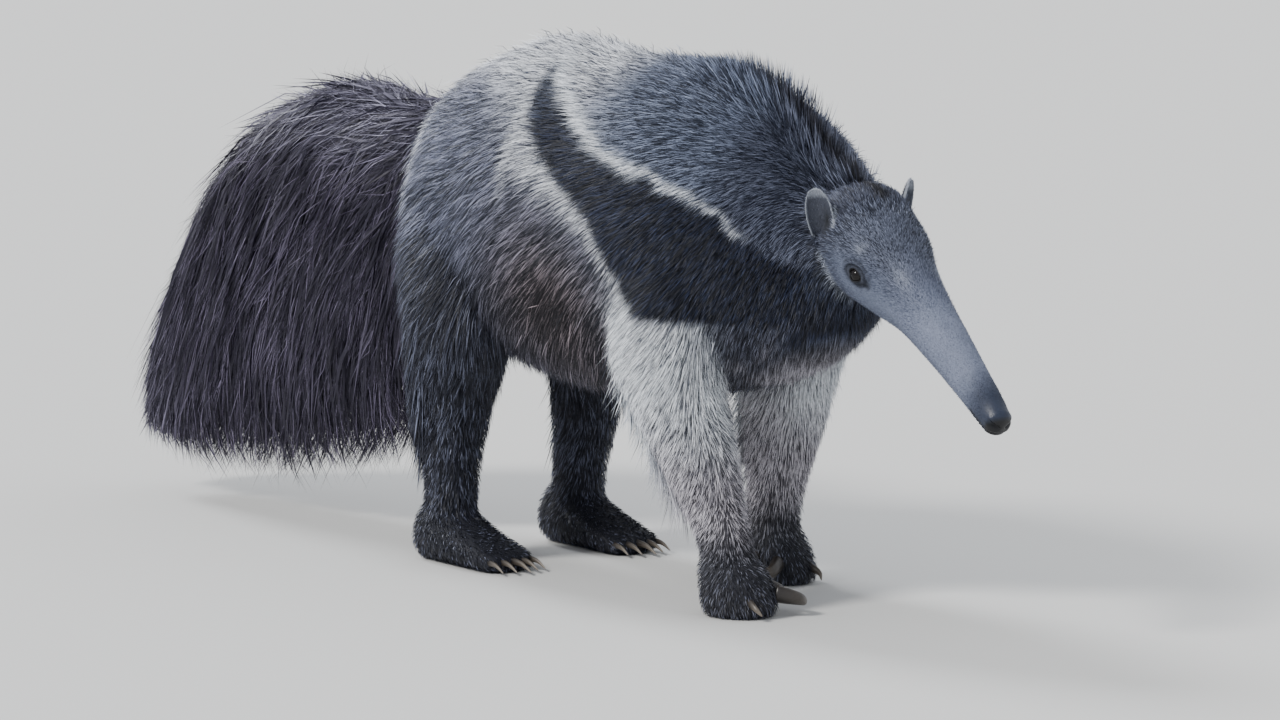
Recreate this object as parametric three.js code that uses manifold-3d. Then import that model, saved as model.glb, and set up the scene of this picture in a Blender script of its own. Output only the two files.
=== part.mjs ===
// Giant anteater, adult, walking with its head low and its tail hanging: a still, life-size model.
// Millimetres. +X is where the animal heads, +Y its left, +Z up, and the floor is z = 0.
// Each form of the body is a stack of rounded sections. Trunk, head, shoulders and hips are joined
// into one body, which is then parted with thin cuts. Every surface is the outside of the coat.
// Long hair is flat, tapered locks that grow from a core and reach the outside at their tips.
import * as THREE from "three";
import { mergeVertices } from "three/addons/utils/BufferGeometryUtils.js";
import Module from "manifold-3d";

const wasm = await Module();
wasm.setup();

// Driving dimensions
const GAP = 0.3; // what two nodes that touch keep between them
const HEAD_LENGTH = 333; // from the level of the ears to the nose tip
const HEAD_PITCH = THREE.MathUtils.degToRad(34);
const HEAD_TURN = THREE.MathUtils.degToRad(-5.6);
const SKULL = new THREE.Vector3(365, 0, 431); // middle of the head at the level of the ears
const EYE_RADIUS = 8.5;
const EYE = { along: 64, side: 41, up: -6.5 };
const EAR = { height: 88, halfWidth: 16, cup: 9, wall: 3, along: 14, side: 44, up: -30 };
const NECK_CUT = 214; // x of the cut between torso and neck
const HEAD_CUT = { x: 356, pitch: THREE.MathUtils.degToRad(12) }; // between neck and head
const LEG_CUT = 335; // z above which a leg belongs to the torso
const FORE_Y = 95; // the track of the forefeet, from the middle
const HIND_Y = 97;
const RIDGE = 1.22; // how much more than an ellipse the trunk narrows to the ridge of its back
const CREST_RISE = 16; // how far the crest stands above the nape

// Looks of each node in this file
const COAT = { dark: 0x2b2c33, grey: 0x6a6d76, pale: 0xa9aaac, black: 0x15161a };

const X = new THREE.Vector3(1, 0, 0);
const Y = new THREE.Vector3(0, 1, 0);
const Z = new THREE.Vector3(0, 0, 1);
const SIDES = ["right", "left"];
const mirrorOf = (side) => (side === "right" ? -1 : 1);
const radians = THREE.MathUtils.degToRad;
const { lerp } = THREE.MathUtils;

// Seeded numbers from -1 to 1, for what varies from lock to lock.
let seed = 41;
function vary() {
  seed = (seed * 1664525 + 1013904223) % 4294967296;
  return (seed / 4294967296) * 2 - 1;
}

// The head's own frame: along the snout, to the animal's left, and up from the snout.
const snout = new THREE.Vector3(
  Math.cos(HEAD_PITCH) * Math.cos(HEAD_TURN),
  Math.cos(HEAD_PITCH) * Math.sin(HEAD_TURN),
  -Math.sin(HEAD_PITCH),
);
const headLeft = new THREE.Vector3().crossVectors(Z, snout).normalize();
const headUp = new THREE.Vector3().crossVectors(snout, headLeft);
const headFrame = new THREE.Matrix4().makeBasis(snout, headLeft, headUp).setPosition(SKULL);
const headPoint = (along, side, up) =>
  new THREE.Vector3(along, side, up).applyMatrix4(headFrame);

// Solids

function solidOf(geometry) {
  const bare = geometry.clone();
  bare.deleteAttribute("normal");
  bare.deleteAttribute("uv");
  const merged = mergeVertices(bare, 1e-4);
  const triVerts = new Uint32Array(merged.index.array);
  const build = () =>
    new wasm.Manifold(
      new wasm.Mesh({ numProp: 3, vertProperties: merged.attributes.position.array, triVerts }),
    );
  const made = build();
  if (made.volume() > 0) return made;
  for (let i = 0; i < triVerts.length; i += 3) {
    [triVerts[i + 1], triVerts[i + 2]] = [triVerts[i + 2], triVerts[i + 1]];
  }
  return build();
}

function geometryOf(solid) {
  const mesh = solid.getMesh();
  const geometry = new THREE.BufferGeometry();
  geometry.setAttribute("position", new THREE.BufferAttribute(mesh.vertProperties.slice(), 3));
  geometry.setIndex(new THREE.BufferAttribute(mesh.triVerts.slice(), 1));
  geometry.computeVertexNormals();
  return geometry;
}

// Rings of points of equal count, joined into one closed skin with a point at each end.
function skinOver(rings, tip = null) {
  const sides = rings[0].length;
  const points = rings.flat();
  const middle = (ring) =>
    ring.reduce((sum, p) => sum.add(p), new THREE.Vector3()).divideScalar(sides);
  const first = points.push(middle(rings[0])) - 1;
  const last = points.push(tip ?? middle(rings.at(-1))) - 1;
  const index = [];
  for (let r = 0; r + 1 < rings.length; r++) {
    for (let i = 0; i < sides; i++) {
      const a = r * sides + i;
      const b = r * sides + ((i + 1) % sides);
      index.push(a, b, b + sides, a, b + sides, a + sides);
    }
  }
  const end = (rings.length - 1) * sides;
  for (let i = 0; i < sides; i++) {
    const j = (i + 1) % sides;
    index.push(first, j, i, last, end + i, end + j);
  }
  const geometry = new THREE.BufferGeometry().setFromPoints(points);
  geometry.setIndex(index);
  return solidOf(geometry);
}

const join = (solids) => wasm.Manifold.union(solids);
const keepAbove = (solid, normal, offset) => solid.trimByPlane(normal.toArray(), offset);
const keepBelow = (solid, normal, offset) =>
  solid.trimByPlane(normal.clone().negate().toArray(), -offset);
const largest = (solid) =>
  solid.decompose().reduce((best, piece) => (piece.volume() > best.volume() ? piece : best));

// A form is a stack of sections along u. A row is [u, middle, high, low, half width, centre]: the
// widest part of the section is at the middle, and the centre is its place across.
class Form {
  constructor(rows, place, { ridge = 1 } = {}) {
    this.rows = rows;
    this.place = place;
    this.ridge = ridge;
  }

  // The row at any u, on a smooth curve through the rows.
  rowAt(u) {
    const { rows } = this;
    const rising = rows.at(-1)[0] > rows[0][0];
    let i = rows.findIndex(([v]) => (rising ? v >= u : v <= u));
    i = i < 0 ? rows.length - 1 : Math.max(i, 1);
    const [before, after] = [rows[i - 1], rows[i]];
    const [earlier, later] = [rows[i - 2] ?? before, rows[i + 1] ?? after];
    const span = after[0] - before[0];
    const t = THREE.MathUtils.clamp((u - before[0]) / span, 0, 1);
    return before.map((value, k) => {
      const slopeIn = ((after[k] - earlier[k]) / (after[0] - earlier[0])) * span;
      const slopeOut = ((later[k] - value) / (later[0] - before[0])) * span;
      return (
        value * (1 + 2 * t) * (1 - t) ** 2 +
        slopeIn * t * (1 - t) ** 2 +
        after[k] * t * t * (3 - 2 * t) +
        slopeOut * t * t * (t - 1)
      );
    });
  }

  point(u, angle, grow = 0, scale = 1) {
    const [, middle, high, low, half, centre = 0] = this.rowAt(u);
    const rise = Math.sin(angle);
    const power = rise > 0 ? this.ridge : 1;
    const across = Math.sign(Math.cos(angle)) * Math.abs(Math.cos(angle)) ** power;
    const reach = (rise > 0 ? high - middle : middle - low) * scale + grow;
    return this.place(u, centre + across * (half * scale + grow), middle + rise * reach);
  }

  normal(u, angle) {
    const here = this.point(u, angle);
    const along = this.point(u + 1, angle).sub(here);
    const around = this.point(u, angle + 0.02).sub(here);
    const normal = new THREE.Vector3().crossVectors(along, around).normalize();
    const outward = this.point(u, angle, 1).sub(here);
    return normal.dot(outward) < 0 ? normal.negate() : normal;
  }

  // A cap is the length over which an end closes as a dome.
  skin({ sides = 24, rings = 20, capStart = 0, capEnd = 0, dome = 3, grow = 0 }) {
    const [start, end] = [this.rows[0][0], this.rows.at(-1)[0]];
    const way = Math.sign(end - start);
    const cuts = [];
    for (let i = 1; capStart && i < dome; i++) {
      const turn = (Math.PI / 2) * (i / dome);
      cuts.push([start + way * (capStart * (1 - Math.cos(turn)) - grow), Math.sin(turn)]);
    }
    for (let i = 0; i <= rings; i++) {
      const pushed = i === 0 && !capStart ? -grow : i === rings && !capEnd ? grow : 0;
      cuts.push([lerp(start + way * capStart, end - way * capEnd, i / rings), 1, way * pushed]);
    }
    for (let i = dome - 1; capEnd && i > 0; i--) {
      const turn = (Math.PI / 2) * (i / dome);
      cuts.push([end - way * (capEnd * (1 - Math.cos(turn)) - grow), Math.sin(turn)]);
    }
    return skinOver(
      cuts.map(([u, scale, pushed = 0]) =>
        Array.from({ length: sides }, (_, i) => {
          const p = this.point(u, (2 * Math.PI * i) / sides, grow, scale);
          return pushed ? p.add(this.place(pushed, 0, 0).sub(this.place(0, 0, 0))) : p;
        }),
      ),
    );
  }
}

const alongX = (x, across, up) => new THREE.Vector3(x, across, up);
const alongZ = (z, across, forward) => new THREE.Vector3(forward, across, z);

const trunk = new Form(
  [
    [-396, 432, 464, 402, 18],
    [-388, 428, 480, 366, 38],
    [-363, 418, 504, 318, 62],
    [-328, 406, 530, 276, 92],
    [-280, 394, 558, 244, 122],
    [-164, 384, 596, 226, 145],
    [-20, 380, 590, 216, 149],
    [70, 385, 594, 218, 145],
    [150, 395, 590 - CREST_RISE * 0.4, 230, 135],
    [233, 410, 570 - CREST_RISE, 250, 117],
    [278, 414, 534 - CREST_RISE, 268, 99],
    [318, 416, 506 - CREST_RISE, 292, 80],
    [350, 416, 482, 322, 62],
    [366, 415, 474, 352, 40],
  ],
  alongX,
  { ridge: RIDGE },
);

const head = new Form(
  [
    [-42, -6, 34, -66, 46],
    [-12, -2, 53, -68, 57],
    [30, 0, 54, -62, 54.5],
    [64, 0, 50, -56, 48],
    [100, 0, 43, -46, 40],
    [145, 1, 37, -32, 33],
    [200, 2, 32, -25, 28],
    [250, 1, 27, -22, 23.5],
    [295, 0, 22, -19.5, 20.5],
    [HEAD_LENGTH, -2, 16, -18.5, 17],
  ],
  headPoint,
);

// A leg's rows are [z, x, front, back, half width, y], with y to the outside.
const legForm = (rows, mirror, step = 0) =>
  new Form(
    rows.map(([z, x, front, back, half, y]) => {
      const at = x + step * (1 - z / rows[0][0]);
      return [z, at, at + front, at - back, half, y * mirror];
    }),
    alongZ,
  );

const FORELEG = {
  right: [
    [430, 144, 76, 80, 54, 58],
    [358, 141, 84, 80, 60, 84],
    [290, 141, 74, 66, 61, 99],
    [235, 155, 62, 52, 57, 99],
    [178, 184, 54, 44, 50, 97],
    [122, 214, 44, 38, 42, 95],
    [74, 238, 38, 36, 37, 94],
    [40, 248, 36, 35, 36, 93],
  ],
  left: [
    [430, 140, 76, 80, 54, 58],
    [358, 128, 82, 80, 60, 84],
    [290, 114, 72, 66, 61, 99],
    [232, 104, 60, 52, 57, 99],
    [172, 96, 52, 44, 49, 97],
    [116, 87, 42, 38, 41, 96],
    [72, 81, 38, 36, 37, 95],
    [40, 80, 36, 35, 36, 94],
  ],
};
const HIND_LEG = [
  [430, -262, 96, 88, 58, 58],
  [352, -250, 100, 76, 65, 84],
  [275, -236, 80, 62, 62, 100],
  [205, -248, 57, 48, 52, 101],
  [145, -254, 44, 42, 43, 100],
  [94, -258, 38, 41, 36, 98],
  [52, -260, 34, 37, 34, 97],
];
const HIND_STEP = { right: 8, left: -14 }; // how far each hind foot is set forward of the hip

const foreLeg = (side) => legForm(FORELEG[side], mirrorOf(side));
const hindLeg = (side) => legForm(HIND_LEG, mirrorOf(side), HIND_STEP[side]);
const LEG_SKIN = { sides: 14, rings: 9 };

// The body in one: trunk, head, and the shoulders and hips where the legs leave it.
function bodySkin(grow = 0) {
  const upperLegs = SIDES.flatMap((side) => [foreLeg(side), hindLeg(side)]).map((leg) =>
    keepAbove(leg.skin({ ...LEG_SKIN, grow }), Z, LEG_CUT - grow),
  );
  return join([
    trunk.skin({ sides: 22, rings: 22, grow }),
    head.skin({ sides: 18, rings: 13, capEnd: 13, dome: 4, grow }),
    ...upperLegs,
  ]);
}

// Feet. A forefoot is a fist that stands on its knuckles; a hind foot is flat on its sole.
const FOOT_X = {
  fore: { right: 254, left: 84 },
  hind: { right: -242, left: -264 },
};
// Rows down the forefoot, from the middle of its foot: [z, x, front, back, half width]
const FORE_FOOT = [
  [66, -12, 36, 34, 34],
  [54, -8, 42, 37, 38],
  [36, 0, 49, 40, 42],
  [16, 5, 53, 42, 44],
  [0, 7, 48, 39, 41],
];
// Rows along the hind foot, from its heel: [x, middle, top, half width]
const HIND_FOOT = [
  [-66, 24, 56, 26],
  [-38, 28, 74, 32],
  [0, 26, 68, 37],
  [45, 20, 46, 41],
  [82, 15, 31, 42],
  [108, 11, 22, 38],
];
const TOE_CAP = 14;

function foreFoot(side, grow = 0) {
  const x = FOOT_X.fore[side];
  const rows = FORE_FOOT.map(([z, dx, front, back, half]) => {
    const middle = x + dx;
    return [z, middle, middle + front, middle - back, half, FORE_Y * mirrorOf(side)];
  });
  return new Form(rows, alongZ).skin({ sides: 14, rings: 4, capStart: 8, dome: 3, grow });
}

function hindFoot(side, grow = 0) {
  const rows = HIND_FOOT.map(([dx, middle, top, half]) => [
    FOOT_X.hind[side] + dx,
    middle,
    top,
    -6,
    half,
    HIND_Y * mirrorOf(side),
  ]);
  const foot = new Form(rows, alongX).skin({
    sides: 14,
    rings: 5,
    capStart: 16,
    capEnd: TOE_CAP,
    grow,
  });
  return keepAbove(foot, Z, -grow);
}

// Claws, each a curved cone over points from its root, in the foot, to its tip.
// Forefoot: points from the middle of the foot, the second number to the inside.
const FORE_CLAWS = [
  { root: 5.5, points: [[-14, 34, 34], [-18, 46, 29], [-32, 50, 22]] },
  { root: 9, points: [[14, 34, 30], [18, 50, 24], [-2, 56, 19], [-32, 52, 14]] },
  { root: 10.5, points: [[40, 26, 25], [54, 48, 19], [36, 66, 12], [-12, 68, 6]] },
  { root: 6, points: [[44, -14, 20], [60, -17, 14], [68, -14, 7]] },
];
const HIND_CLAWS = [-28, -14, 0, 14, 28].map((y) => ({
  root: 5.2 - Math.abs(y) * 0.03,
  points: [
    [98 - Math.abs(y) * 0.35, y, 12],
    [116 - Math.abs(y) * 0.35, y * 1.04, 11],
    [134 - Math.abs(y) * 0.45, y * 1.06, 4],
  ],
}));
const CLAW = { sides: 6, rings: 4, flatness: 0.8, endShare: 0.12 };

function claw(footX, footY, mirror, { root, points }) {
  const line = new THREE.CatmullRomCurve3(
    points.map(([dx, dy, z]) => new THREE.Vector3(footX + dx, footY - mirror * dy, z)),
  );
  const rings = Array.from({ length: CLAW.rings }, (_, r) => {
    const t = r / CLAW.rings;
    const centre = line.getPoint(t);
    const tangent = line.getTangent(t);
    const across = new THREE.Vector3().crossVectors(Z, tangent).normalize();
    const up = new THREE.Vector3().crossVectors(tangent, across);
    const size = root * lerp(1, CLAW.endShare, t);
    return Array.from({ length: CLAW.sides }, (_, i) => {
      const angle = (2 * Math.PI * i) / CLAW.sides;
      return centre
        .clone()
        .addScaledVector(across, Math.cos(angle) * size * CLAW.flatness)
        .addScaledVector(up, Math.sin(angle) * size);
    });
  });
  return keepAbove(skinOver(rings, line.getPoint(1)), Z, 0.6);
}

// Locks. Each is a flat, tapered strip with a sharp edge on either side. It leaves the core under
// its root, bends along the lie of the hair and lifts until its tip is on the outside of the coat.
const LOCK_STEPS = [0, 0.36, 0.74];
const LOCK_WIDTHS = [0.55, 1, 0.7];
const LAYER = 12; // every other lock in a row lies this much deeper than its neighbours
const LOCK_ROOT = 9; // how far a root is sunk

function lock(core, outside, from, to, { width, thick = 5, lift = 0, layer = 0 }) {
  const at = (t) => {
    const [u, angle] = [lerp(from[0], to[0], t), lerp(from[1], to[1], t)];
    const inner = core(u, angle, -LOCK_ROOT * (1 - t));
    const outer = outside.point(u, angle, lift * t * t - layer * (1 - t * t));
    return inner.lerp(outer, Math.sin((Math.PI / 2) * t) ** 0.8);
  };
  const rings = LOCK_STEPS.map((t, i) => {
    const tangent = at(t + 0.05).sub(at(t)).normalize();
    const normal = outside.normal(lerp(from[0], to[0], t), lerp(from[1], to[1], t));
    const across = new THREE.Vector3().crossVectors(tangent, normal).normalize();
    const face = new THREE.Vector3().crossVectors(across, tangent);
    const half = (width / 2) * LOCK_WIDTHS[i];
    const deep = (thick / 2) * (1 - 0.6 * t);
    const centre = at(t);
    return [
      centre.clone().addScaledVector(across, half),
      centre.clone().addScaledVector(face, deep),
      centre.clone().addScaledVector(across, -half),
      centre.clone().addScaledVector(face, -deep),
    ];
  });
  return skinOver(rings, at(1));
}

// The tail out to the tips of its hair, and the core that the hair grows from.
const tail = new Form(
  [
    [-352, 425, 476, 352, 38],
    [-380, 428, 488, 270, 50],
    [-410, 430, 488, 180, 58],
    [-455, 432, 489, 105, 64],
    [-525, 430, 494, 74, 67],
    [-600, 418, 484, 58, 67],
    [-680, 390, 453, 48, 65],
    [-742, 345, 402, 42, 60],
    [-792, 285, 341, 42, 54],
    [-838, 222, 274, 44, 46],
    [-881, 165, 205, 52, 36],
    [-914, 112, 138, 68, 22],
    [-928, 98, 112, 82, 10],
  ],
  alongX,
);
const tailCore = new Form(
  [
    [-350, 425, 470, 366, 36],
    [-400, 430, 468, 318, 46],
    [-470, 432, 468, 278, 50],
    [-550, 425, 465, 256, 50],
    [-630, 405, 445, 242, 48],
    [-700, 368, 408, 226, 44],
    [-760, 312, 350, 204, 36],
    [-812, 250, 280, 178, 24],
    [-838, 215, 232, 184, 10],
  ],
  alongX,
);
// Rows of locks down each side: angles of root and tip from the widest part, how far back the tip
// lies, and the x of the first and the last root.
const TAIL_ROWS = [
  { root: 72, tip: 16, back: 96, first: -384, last: -790, width: 52 },
  { root: 30, tip: -26, back: 66, first: -378, last: -780, width: 60 },
  { root: -4, tip: -52, back: 60, first: -390, last: -765, width: 60 },
  { root: -30, tip: -84, back: 64, first: -420, last: -755, width: 56 },
];
const TAIL_SPACING = 54;
const TAIL_END = { root: -792, first: -900, step: 10, angles: [55, 5, -35, -70], width: 44 };
const TAIL_REACH = -918; // no lock's tip lies further back
const CORE_REACH = -836; // and no root

function tailSolid() {
  const locks = [];
  const coreAt = (u, angle, grow) => tailCore.point(Math.max(u, CORE_REACH), angle, grow);
  for (const mirror of [-1, 1]) {
    const turned = (degrees) => (mirror > 0 ? radians(degrees) : Math.PI - radians(degrees));
    TAIL_ROWS.forEach(({ root, tip, back, first, last, width }, row) => {
      const count = Math.round((first - last) / TAIL_SPACING);
      for (let i = 0; i <= count; i++) {
        const stagger = (row % 2) * 0.5 + 0.15 * vary() + (mirror > 0 ? 0.25 : 0);
        const x = first - Math.min(i + stagger, count) * TAIL_SPACING;
        const far = (first - x) / (first - last);
        const end = Math.max(x - back * (1 + 0.35 * far + 0.12 * vary()), TAIL_REACH);
        const from = [x, turned(root + 3 * vary())];
        const to = [end, turned(tip + 4 * vary())];
        const shape = { width: width * (1 + 0.12 * vary()), layer: (i % 2) * LAYER };
        locks.push(lock(coreAt, tail, from, to, shape));
      }
    });
    TAIL_END.angles.forEach((angle, i) => {
      const from = [TAIL_END.root + 6 * vary(), turned(angle)];
      const to = [TAIL_END.first - TAIL_END.step * i, turned(angle - 8)];
      locks.push(lock(coreAt, tail, from, to, { width: TAIL_END.width, layer: (i % 2) * LAYER }));
    });
  }
  return join([tailCore.skin({ sides: 12, rings: 10 }), ...locks]);
}

// Crest: locks along the ridge of the nape, leaning back, turned edge on to the sides.
const CREST = { first: 150, last: 346, spacing: 14, width: 34, lean: 17 };
const CREST_CLEAR = 16; // how far its locks stay from the cut between torso and neck

function crestLocks(low, high) {
  const locks = [];
  for (let x = CREST.first; x < CREST.last; x += CREST.spacing) {
    if (x < low || x > high) continue;
    const room = x - low - CREST.width / 2;
    const nape = THREE.MathUtils.smoothstep(x, CREST.first - 20, NECK_CUT);
    const lean = Math.min(CREST.lean * (1.25 - 0.25 * nape), room);
    const rise = CREST_RISE * lerp(0.4, 1, nape) * (1 + 0.15 * vary());
    const side = 3.5 * vary();
    const root = trunk.point(x, Math.PI / 2);
    const tip = trunk.point(x - lean, Math.PI / 2);
    const direction = tip.clone().sub(root).normalize();
    const at = (t) =>
      root
        .clone()
        .lerp(tip, t)
        .add(new THREE.Vector3(0, side * (1 + t), -LOCK_ROOT * (1 - t) + rise * t ** 0.7));
    const rings = LOCK_STEPS.map((t, i) => {
      const half = (CREST.width / 2) * LOCK_WIDTHS[i];
      const deep = 4.5 * (1 - 0.7 * t);
      const along = direction.clone().multiplyScalar(half);
      const across = Y.clone().multiplyScalar(deep);
      return [
        at(t).add(along),
        at(t).add(across),
        at(t).sub(along),
        at(t).sub(across),
      ];
    });
    locks.push(skinOver(rings, at(1)));
  }
  return locks;
}

// Fringes: rows of locks that hang from a form. Angles run from the outside, positive to the front.
const FRINGE_DEPTH = 2; // how far under the form's surface a fringe has its core

function fringe(form, mirror, { from, to, count, angle, tipAngle, drop, width, lift }) {
  const turned = (degrees) => (mirror > 0 ? radians(degrees) : Math.PI - radians(degrees));
  const core = (u, a, grow) => form.point(u, a, grow - FRINGE_DEPTH);
  return Array.from({ length: count }, (_, i) => {
    const share = count > 1 ? i / (count - 1) : 0;
    const u = lerp(from, to, share) + 3 * vary();
    const spread = (i % 2 ? 1 : -1) * 9;
    const start = [u, turned(angle + spread + 3 * vary())];
    const end = [u + drop * (1 + 0.12 * vary()), turned(tipAngle + spread * 1.2 + 4 * vary())];
    const shape = { width: width * (1 + 0.1 * vary()), lift, layer: (i % 2) * LAYER };
    return lock(core, form, start, end, shape);
  });
}

// Elbows and thighs: the hair hangs down the back of the leg, so u, its height, falls.
const ELBOW_FRINGE = [
  { from: 322, to: 178, count: 6, angle: -66, tipAngle: -76, drop: -104, width: 42, lift: 36 },
  { from: 308, to: 190, count: 4, angle: -108, tipAngle: -100, drop: -92, width: 40, lift: 30 },
];
const THIGH_FRINGE = [
  { from: 322, to: 160, count: 6, angle: -70, tipAngle: -80, drop: -88, width: 46, lift: 14 },
  { from: 326, to: 200, count: 4, angle: -24, tipAngle: -34, drop: -84, width: 50, lift: 8 },
];
// Belly: the hair of the flanks hangs below it and back, so u is the distance along the trunk.
const BELLY_FRINGE = {
  from: -120,
  to: 34,
  count: 8,
  angle: -44,
  tipAngle: -66,
  drop: -34,
  width: 38,
  lift: 20,
};

// Ear: a leaf-shaped cup, narrow at its root, that opens outwards and forwards.
const EAR_LEAN = { right: [0.14, -0.34, 0.93], left: [-0.1, 0.38, 0.9] };
const EAR_OUTLINE = [0.42, 0.56, 0.74, 0.92, 1, 0.94, 0.72, 0.34];

function ear(side) {
  const mirror = mirrorOf(side);
  const arcPoints = 5;
  const tall = new THREE.Vector3(...EAR_LEAN[side]).normalize();
  const outward = new THREE.Vector3(0.5, 0.84 * mirror, 0);
  outward.addScaledVector(tall, -outward.dot(tall)).normalize();
  const across = new THREE.Vector3().crossVectors(tall, outward);
  const root = headPoint(EAR.along, EAR.side * mirror, EAR.up);
  const rings = EAR_OUTLINE.map((share, r) => {
    const height = EAR.height * (r / (EAR_OUTLINE.length - 1)) ** 0.9;
    const half = EAR.halfWidth * share;
    const depth = EAR.cup * share ** 0.7;
    const arc = (reach, dip) =>
      Array.from({ length: arcPoints + 1 }, (_, i) => {
        const turn = Math.PI * (i / arcPoints);
        return root
          .clone()
          .addScaledVector(tall, height)
          .addScaledVector(across, -Math.cos(turn) * reach)
          .addScaledVector(outward, -Math.sin(turn) * dip);
      });
    const back = arc(half, depth);
    const front = arc(half - EAR.wall * 0.7, Math.max(depth - EAR.wall, 0.4)).reverse();
    return [...back, ...front];
  });
  return skinOver(rings);
}

// Eye and lids
const eyeCentre = (side) => headPoint(EYE.along, EYE.side * mirrorOf(side), EYE.up);

function eyeBall(side, grow = 0) {
  const ball = new THREE.SphereGeometry(EYE_RADIUS + grow, 12, 8);
  ball.translate(...eyeCentre(side).toArray());
  return solidOf(ball);
}

const LID = { radius: 8.2, thick: 3, wide: 1.12, tall: 0.92, out: 5.2 };

function lids(side) {
  const ring = new THREE.TorusGeometry(LID.radius, LID.thick, 6, 12);
  ring.scale(LID.wide, LID.tall, 1);
  const facing = new THREE.Vector3(0.12, mirrorOf(side), 0.1).normalize();
  const along = X.clone().addScaledVector(facing, -facing.x).normalize();
  const upward = new THREE.Vector3().crossVectors(facing, along);
  ring.applyMatrix4(new THREE.Matrix4().makeBasis(along, upward, facing));
  ring.translate(0, LID.out * mirrorOf(side), 0);
  ring.applyMatrix4(headFrame.clone().setPosition(eyeCentre(side)));
  return solidOf(ring);
}

// The mouth is a short slit low round the tip of the snout, and the nostrils are two pits above it.
const MOUTH = { length: 49, slit: 1.8, deep: 3.5, up: -10, slope: radians(3) };
const NOSTRIL = { radius: 3.6, fromTip: 9, side: 12, up: 1 };

function mouthCut() {
  const slab = new THREE.BoxGeometry(MOUTH.length * 2, 70, MOUTH.slit);
  slab.rotateY(MOUTH.slope);
  slab.translate(HEAD_LENGTH, 0, MOUTH.up);
  slab.applyMatrix4(headFrame);
  const inside = head.skin({ sides: 10, rings: 8, capEnd: 13, grow: -MOUTH.deep });
  return solidOf(slab).subtract(inside);
}

function nostril(side) {
  const pit = new THREE.SphereGeometry(NOSTRIL.radius, 8, 6);
  pit.scale(1.3, 0.8, 1);
  pit.translate(HEAD_LENGTH - NOSTRIL.fromTip, NOSTRIL.side * mirrorOf(side), NOSTRIL.up);
  pit.applyMatrix4(headFrame);
  return solidOf(pit);
}

// The nodes
const group = new THREE.Group();

function addNode(name, solid, color, roughness = 0.9) {
  const material = new THREE.MeshStandardMaterial({ color, roughness, metalness: 0 });
  const mesh = new THREE.Mesh(geometryOf(largest(solid)), material);
  mesh.name = name;
  group.add(mesh);
}

const body = bodySkin();
const bodyRoom = bodySkin(GAP);
const headCutNormal = new THREE.Vector3(Math.cos(HEAD_CUT.pitch), 0, -Math.sin(HEAD_CUT.pitch));
const headCutAt = new THREE.Vector3(HEAD_CUT.x, 0, SKULL.z).dot(headCutNormal);

const bellyLocks = SIDES.flatMap((side) => fringe(trunk, mirrorOf(side), BELLY_FRINGE));
const torsoBody = keepBelow(body, X, NECK_CUT - GAP / 2);
addNode(
  "torso",
  join([torsoBody, ...bellyLocks, ...crestLocks(-Infinity, NECK_CUT - CREST_CLEAR)]),
  COAT.dark,
);
const neckBody = keepBelow(
  keepAbove(body, X, NECK_CUT + GAP / 2),
  headCutNormal,
  headCutAt - GAP / 2,
);
addNode("neck", join([neckBody, ...crestLocks(NECK_CUT + CREST_CLEAR, Infinity)]), COAT.dark);

let headSolid = keepAbove(body, headCutNormal, headCutAt + GAP / 2);
for (const side of SIDES) {
  headSolid = headSolid.add(lids(side)).subtract(eyeBall(side, GAP)).subtract(nostril(side));
}
addNode("head", headSolid.subtract(mouthCut()), COAT.grey);

for (const side of SIDES) {
  const mirror = mirrorOf(side);
  addNode(`eye_${side}`, eyeBall(side), COAT.black, 0.1);
  addNode(`ear_${side}`, ear(side).subtract(bodyRoom), COAT.grey);

  const foreFootRoom = foreFoot(side, GAP);
  const hindFootRoom = hindFoot(side, GAP);
  const legs = [
    [`foreleg_${side}`, foreLeg(side), ELBOW_FRINGE, foreFootRoom, COAT.pale],
    [`hindleg_${side}`, hindLeg(side), THIGH_FRINGE, hindFootRoom, COAT.dark],
  ];
  for (const [name, leg, fringes, footRoom, color] of legs) {
    const locks = fringes.flatMap((row) => fringe(leg, mirror, row));
    const solid = join([leg.skin(LEG_SKIN), ...locks]).subtract(bodyRoom).subtract(footRoom);
    addNode(name, solid, color);
  }
  addNode(`forefoot_${side}`, foreFoot(side), COAT.dark);
  addNode(`hindfoot_${side}`, hindFoot(side), COAT.dark);

  const foreY = FORE_Y * mirror;
  const hindY = HIND_Y * mirror;
  FORE_CLAWS.forEach((shape, i) => {
    const made = claw(FOOT_X.fore[side], foreY, mirror, shape).subtract(foreFootRoom);
    addNode(`foreclaw_${side}_${i + 1}`, made, COAT.black, 0.4);
  });
  HIND_CLAWS.forEach((shape, i) => {
    const made = claw(FOOT_X.hind[side], hindY, mirror, shape).subtract(hindFootRoom);
    addNode(`hindclaw_${side}_${i + 1}`, made, COAT.black, 0.4);
  });
}

addNode("tail", tailSolid().subtract(bodyRoom), COAT.dark);

// The origin is on the floor, below the middle of the whole animal.
const bounds = new THREE.Box3().setFromObject(group);
const centre = bounds.getCenter(new THREE.Vector3());
group.position.set(-centre.x, -centre.y, -bounds.min.z);

export default group;
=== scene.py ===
# Giant anteater, adult, walking with its head low and its tail hanging: a still, life-size model.
# Sizes are body millimetres, +X where the animal heads, +Y its left, +Z up and the floor at z = 0.
# The function place turns them into the frame's metres. One skin carries a coat of thin tufts.
import functools
import math

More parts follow.
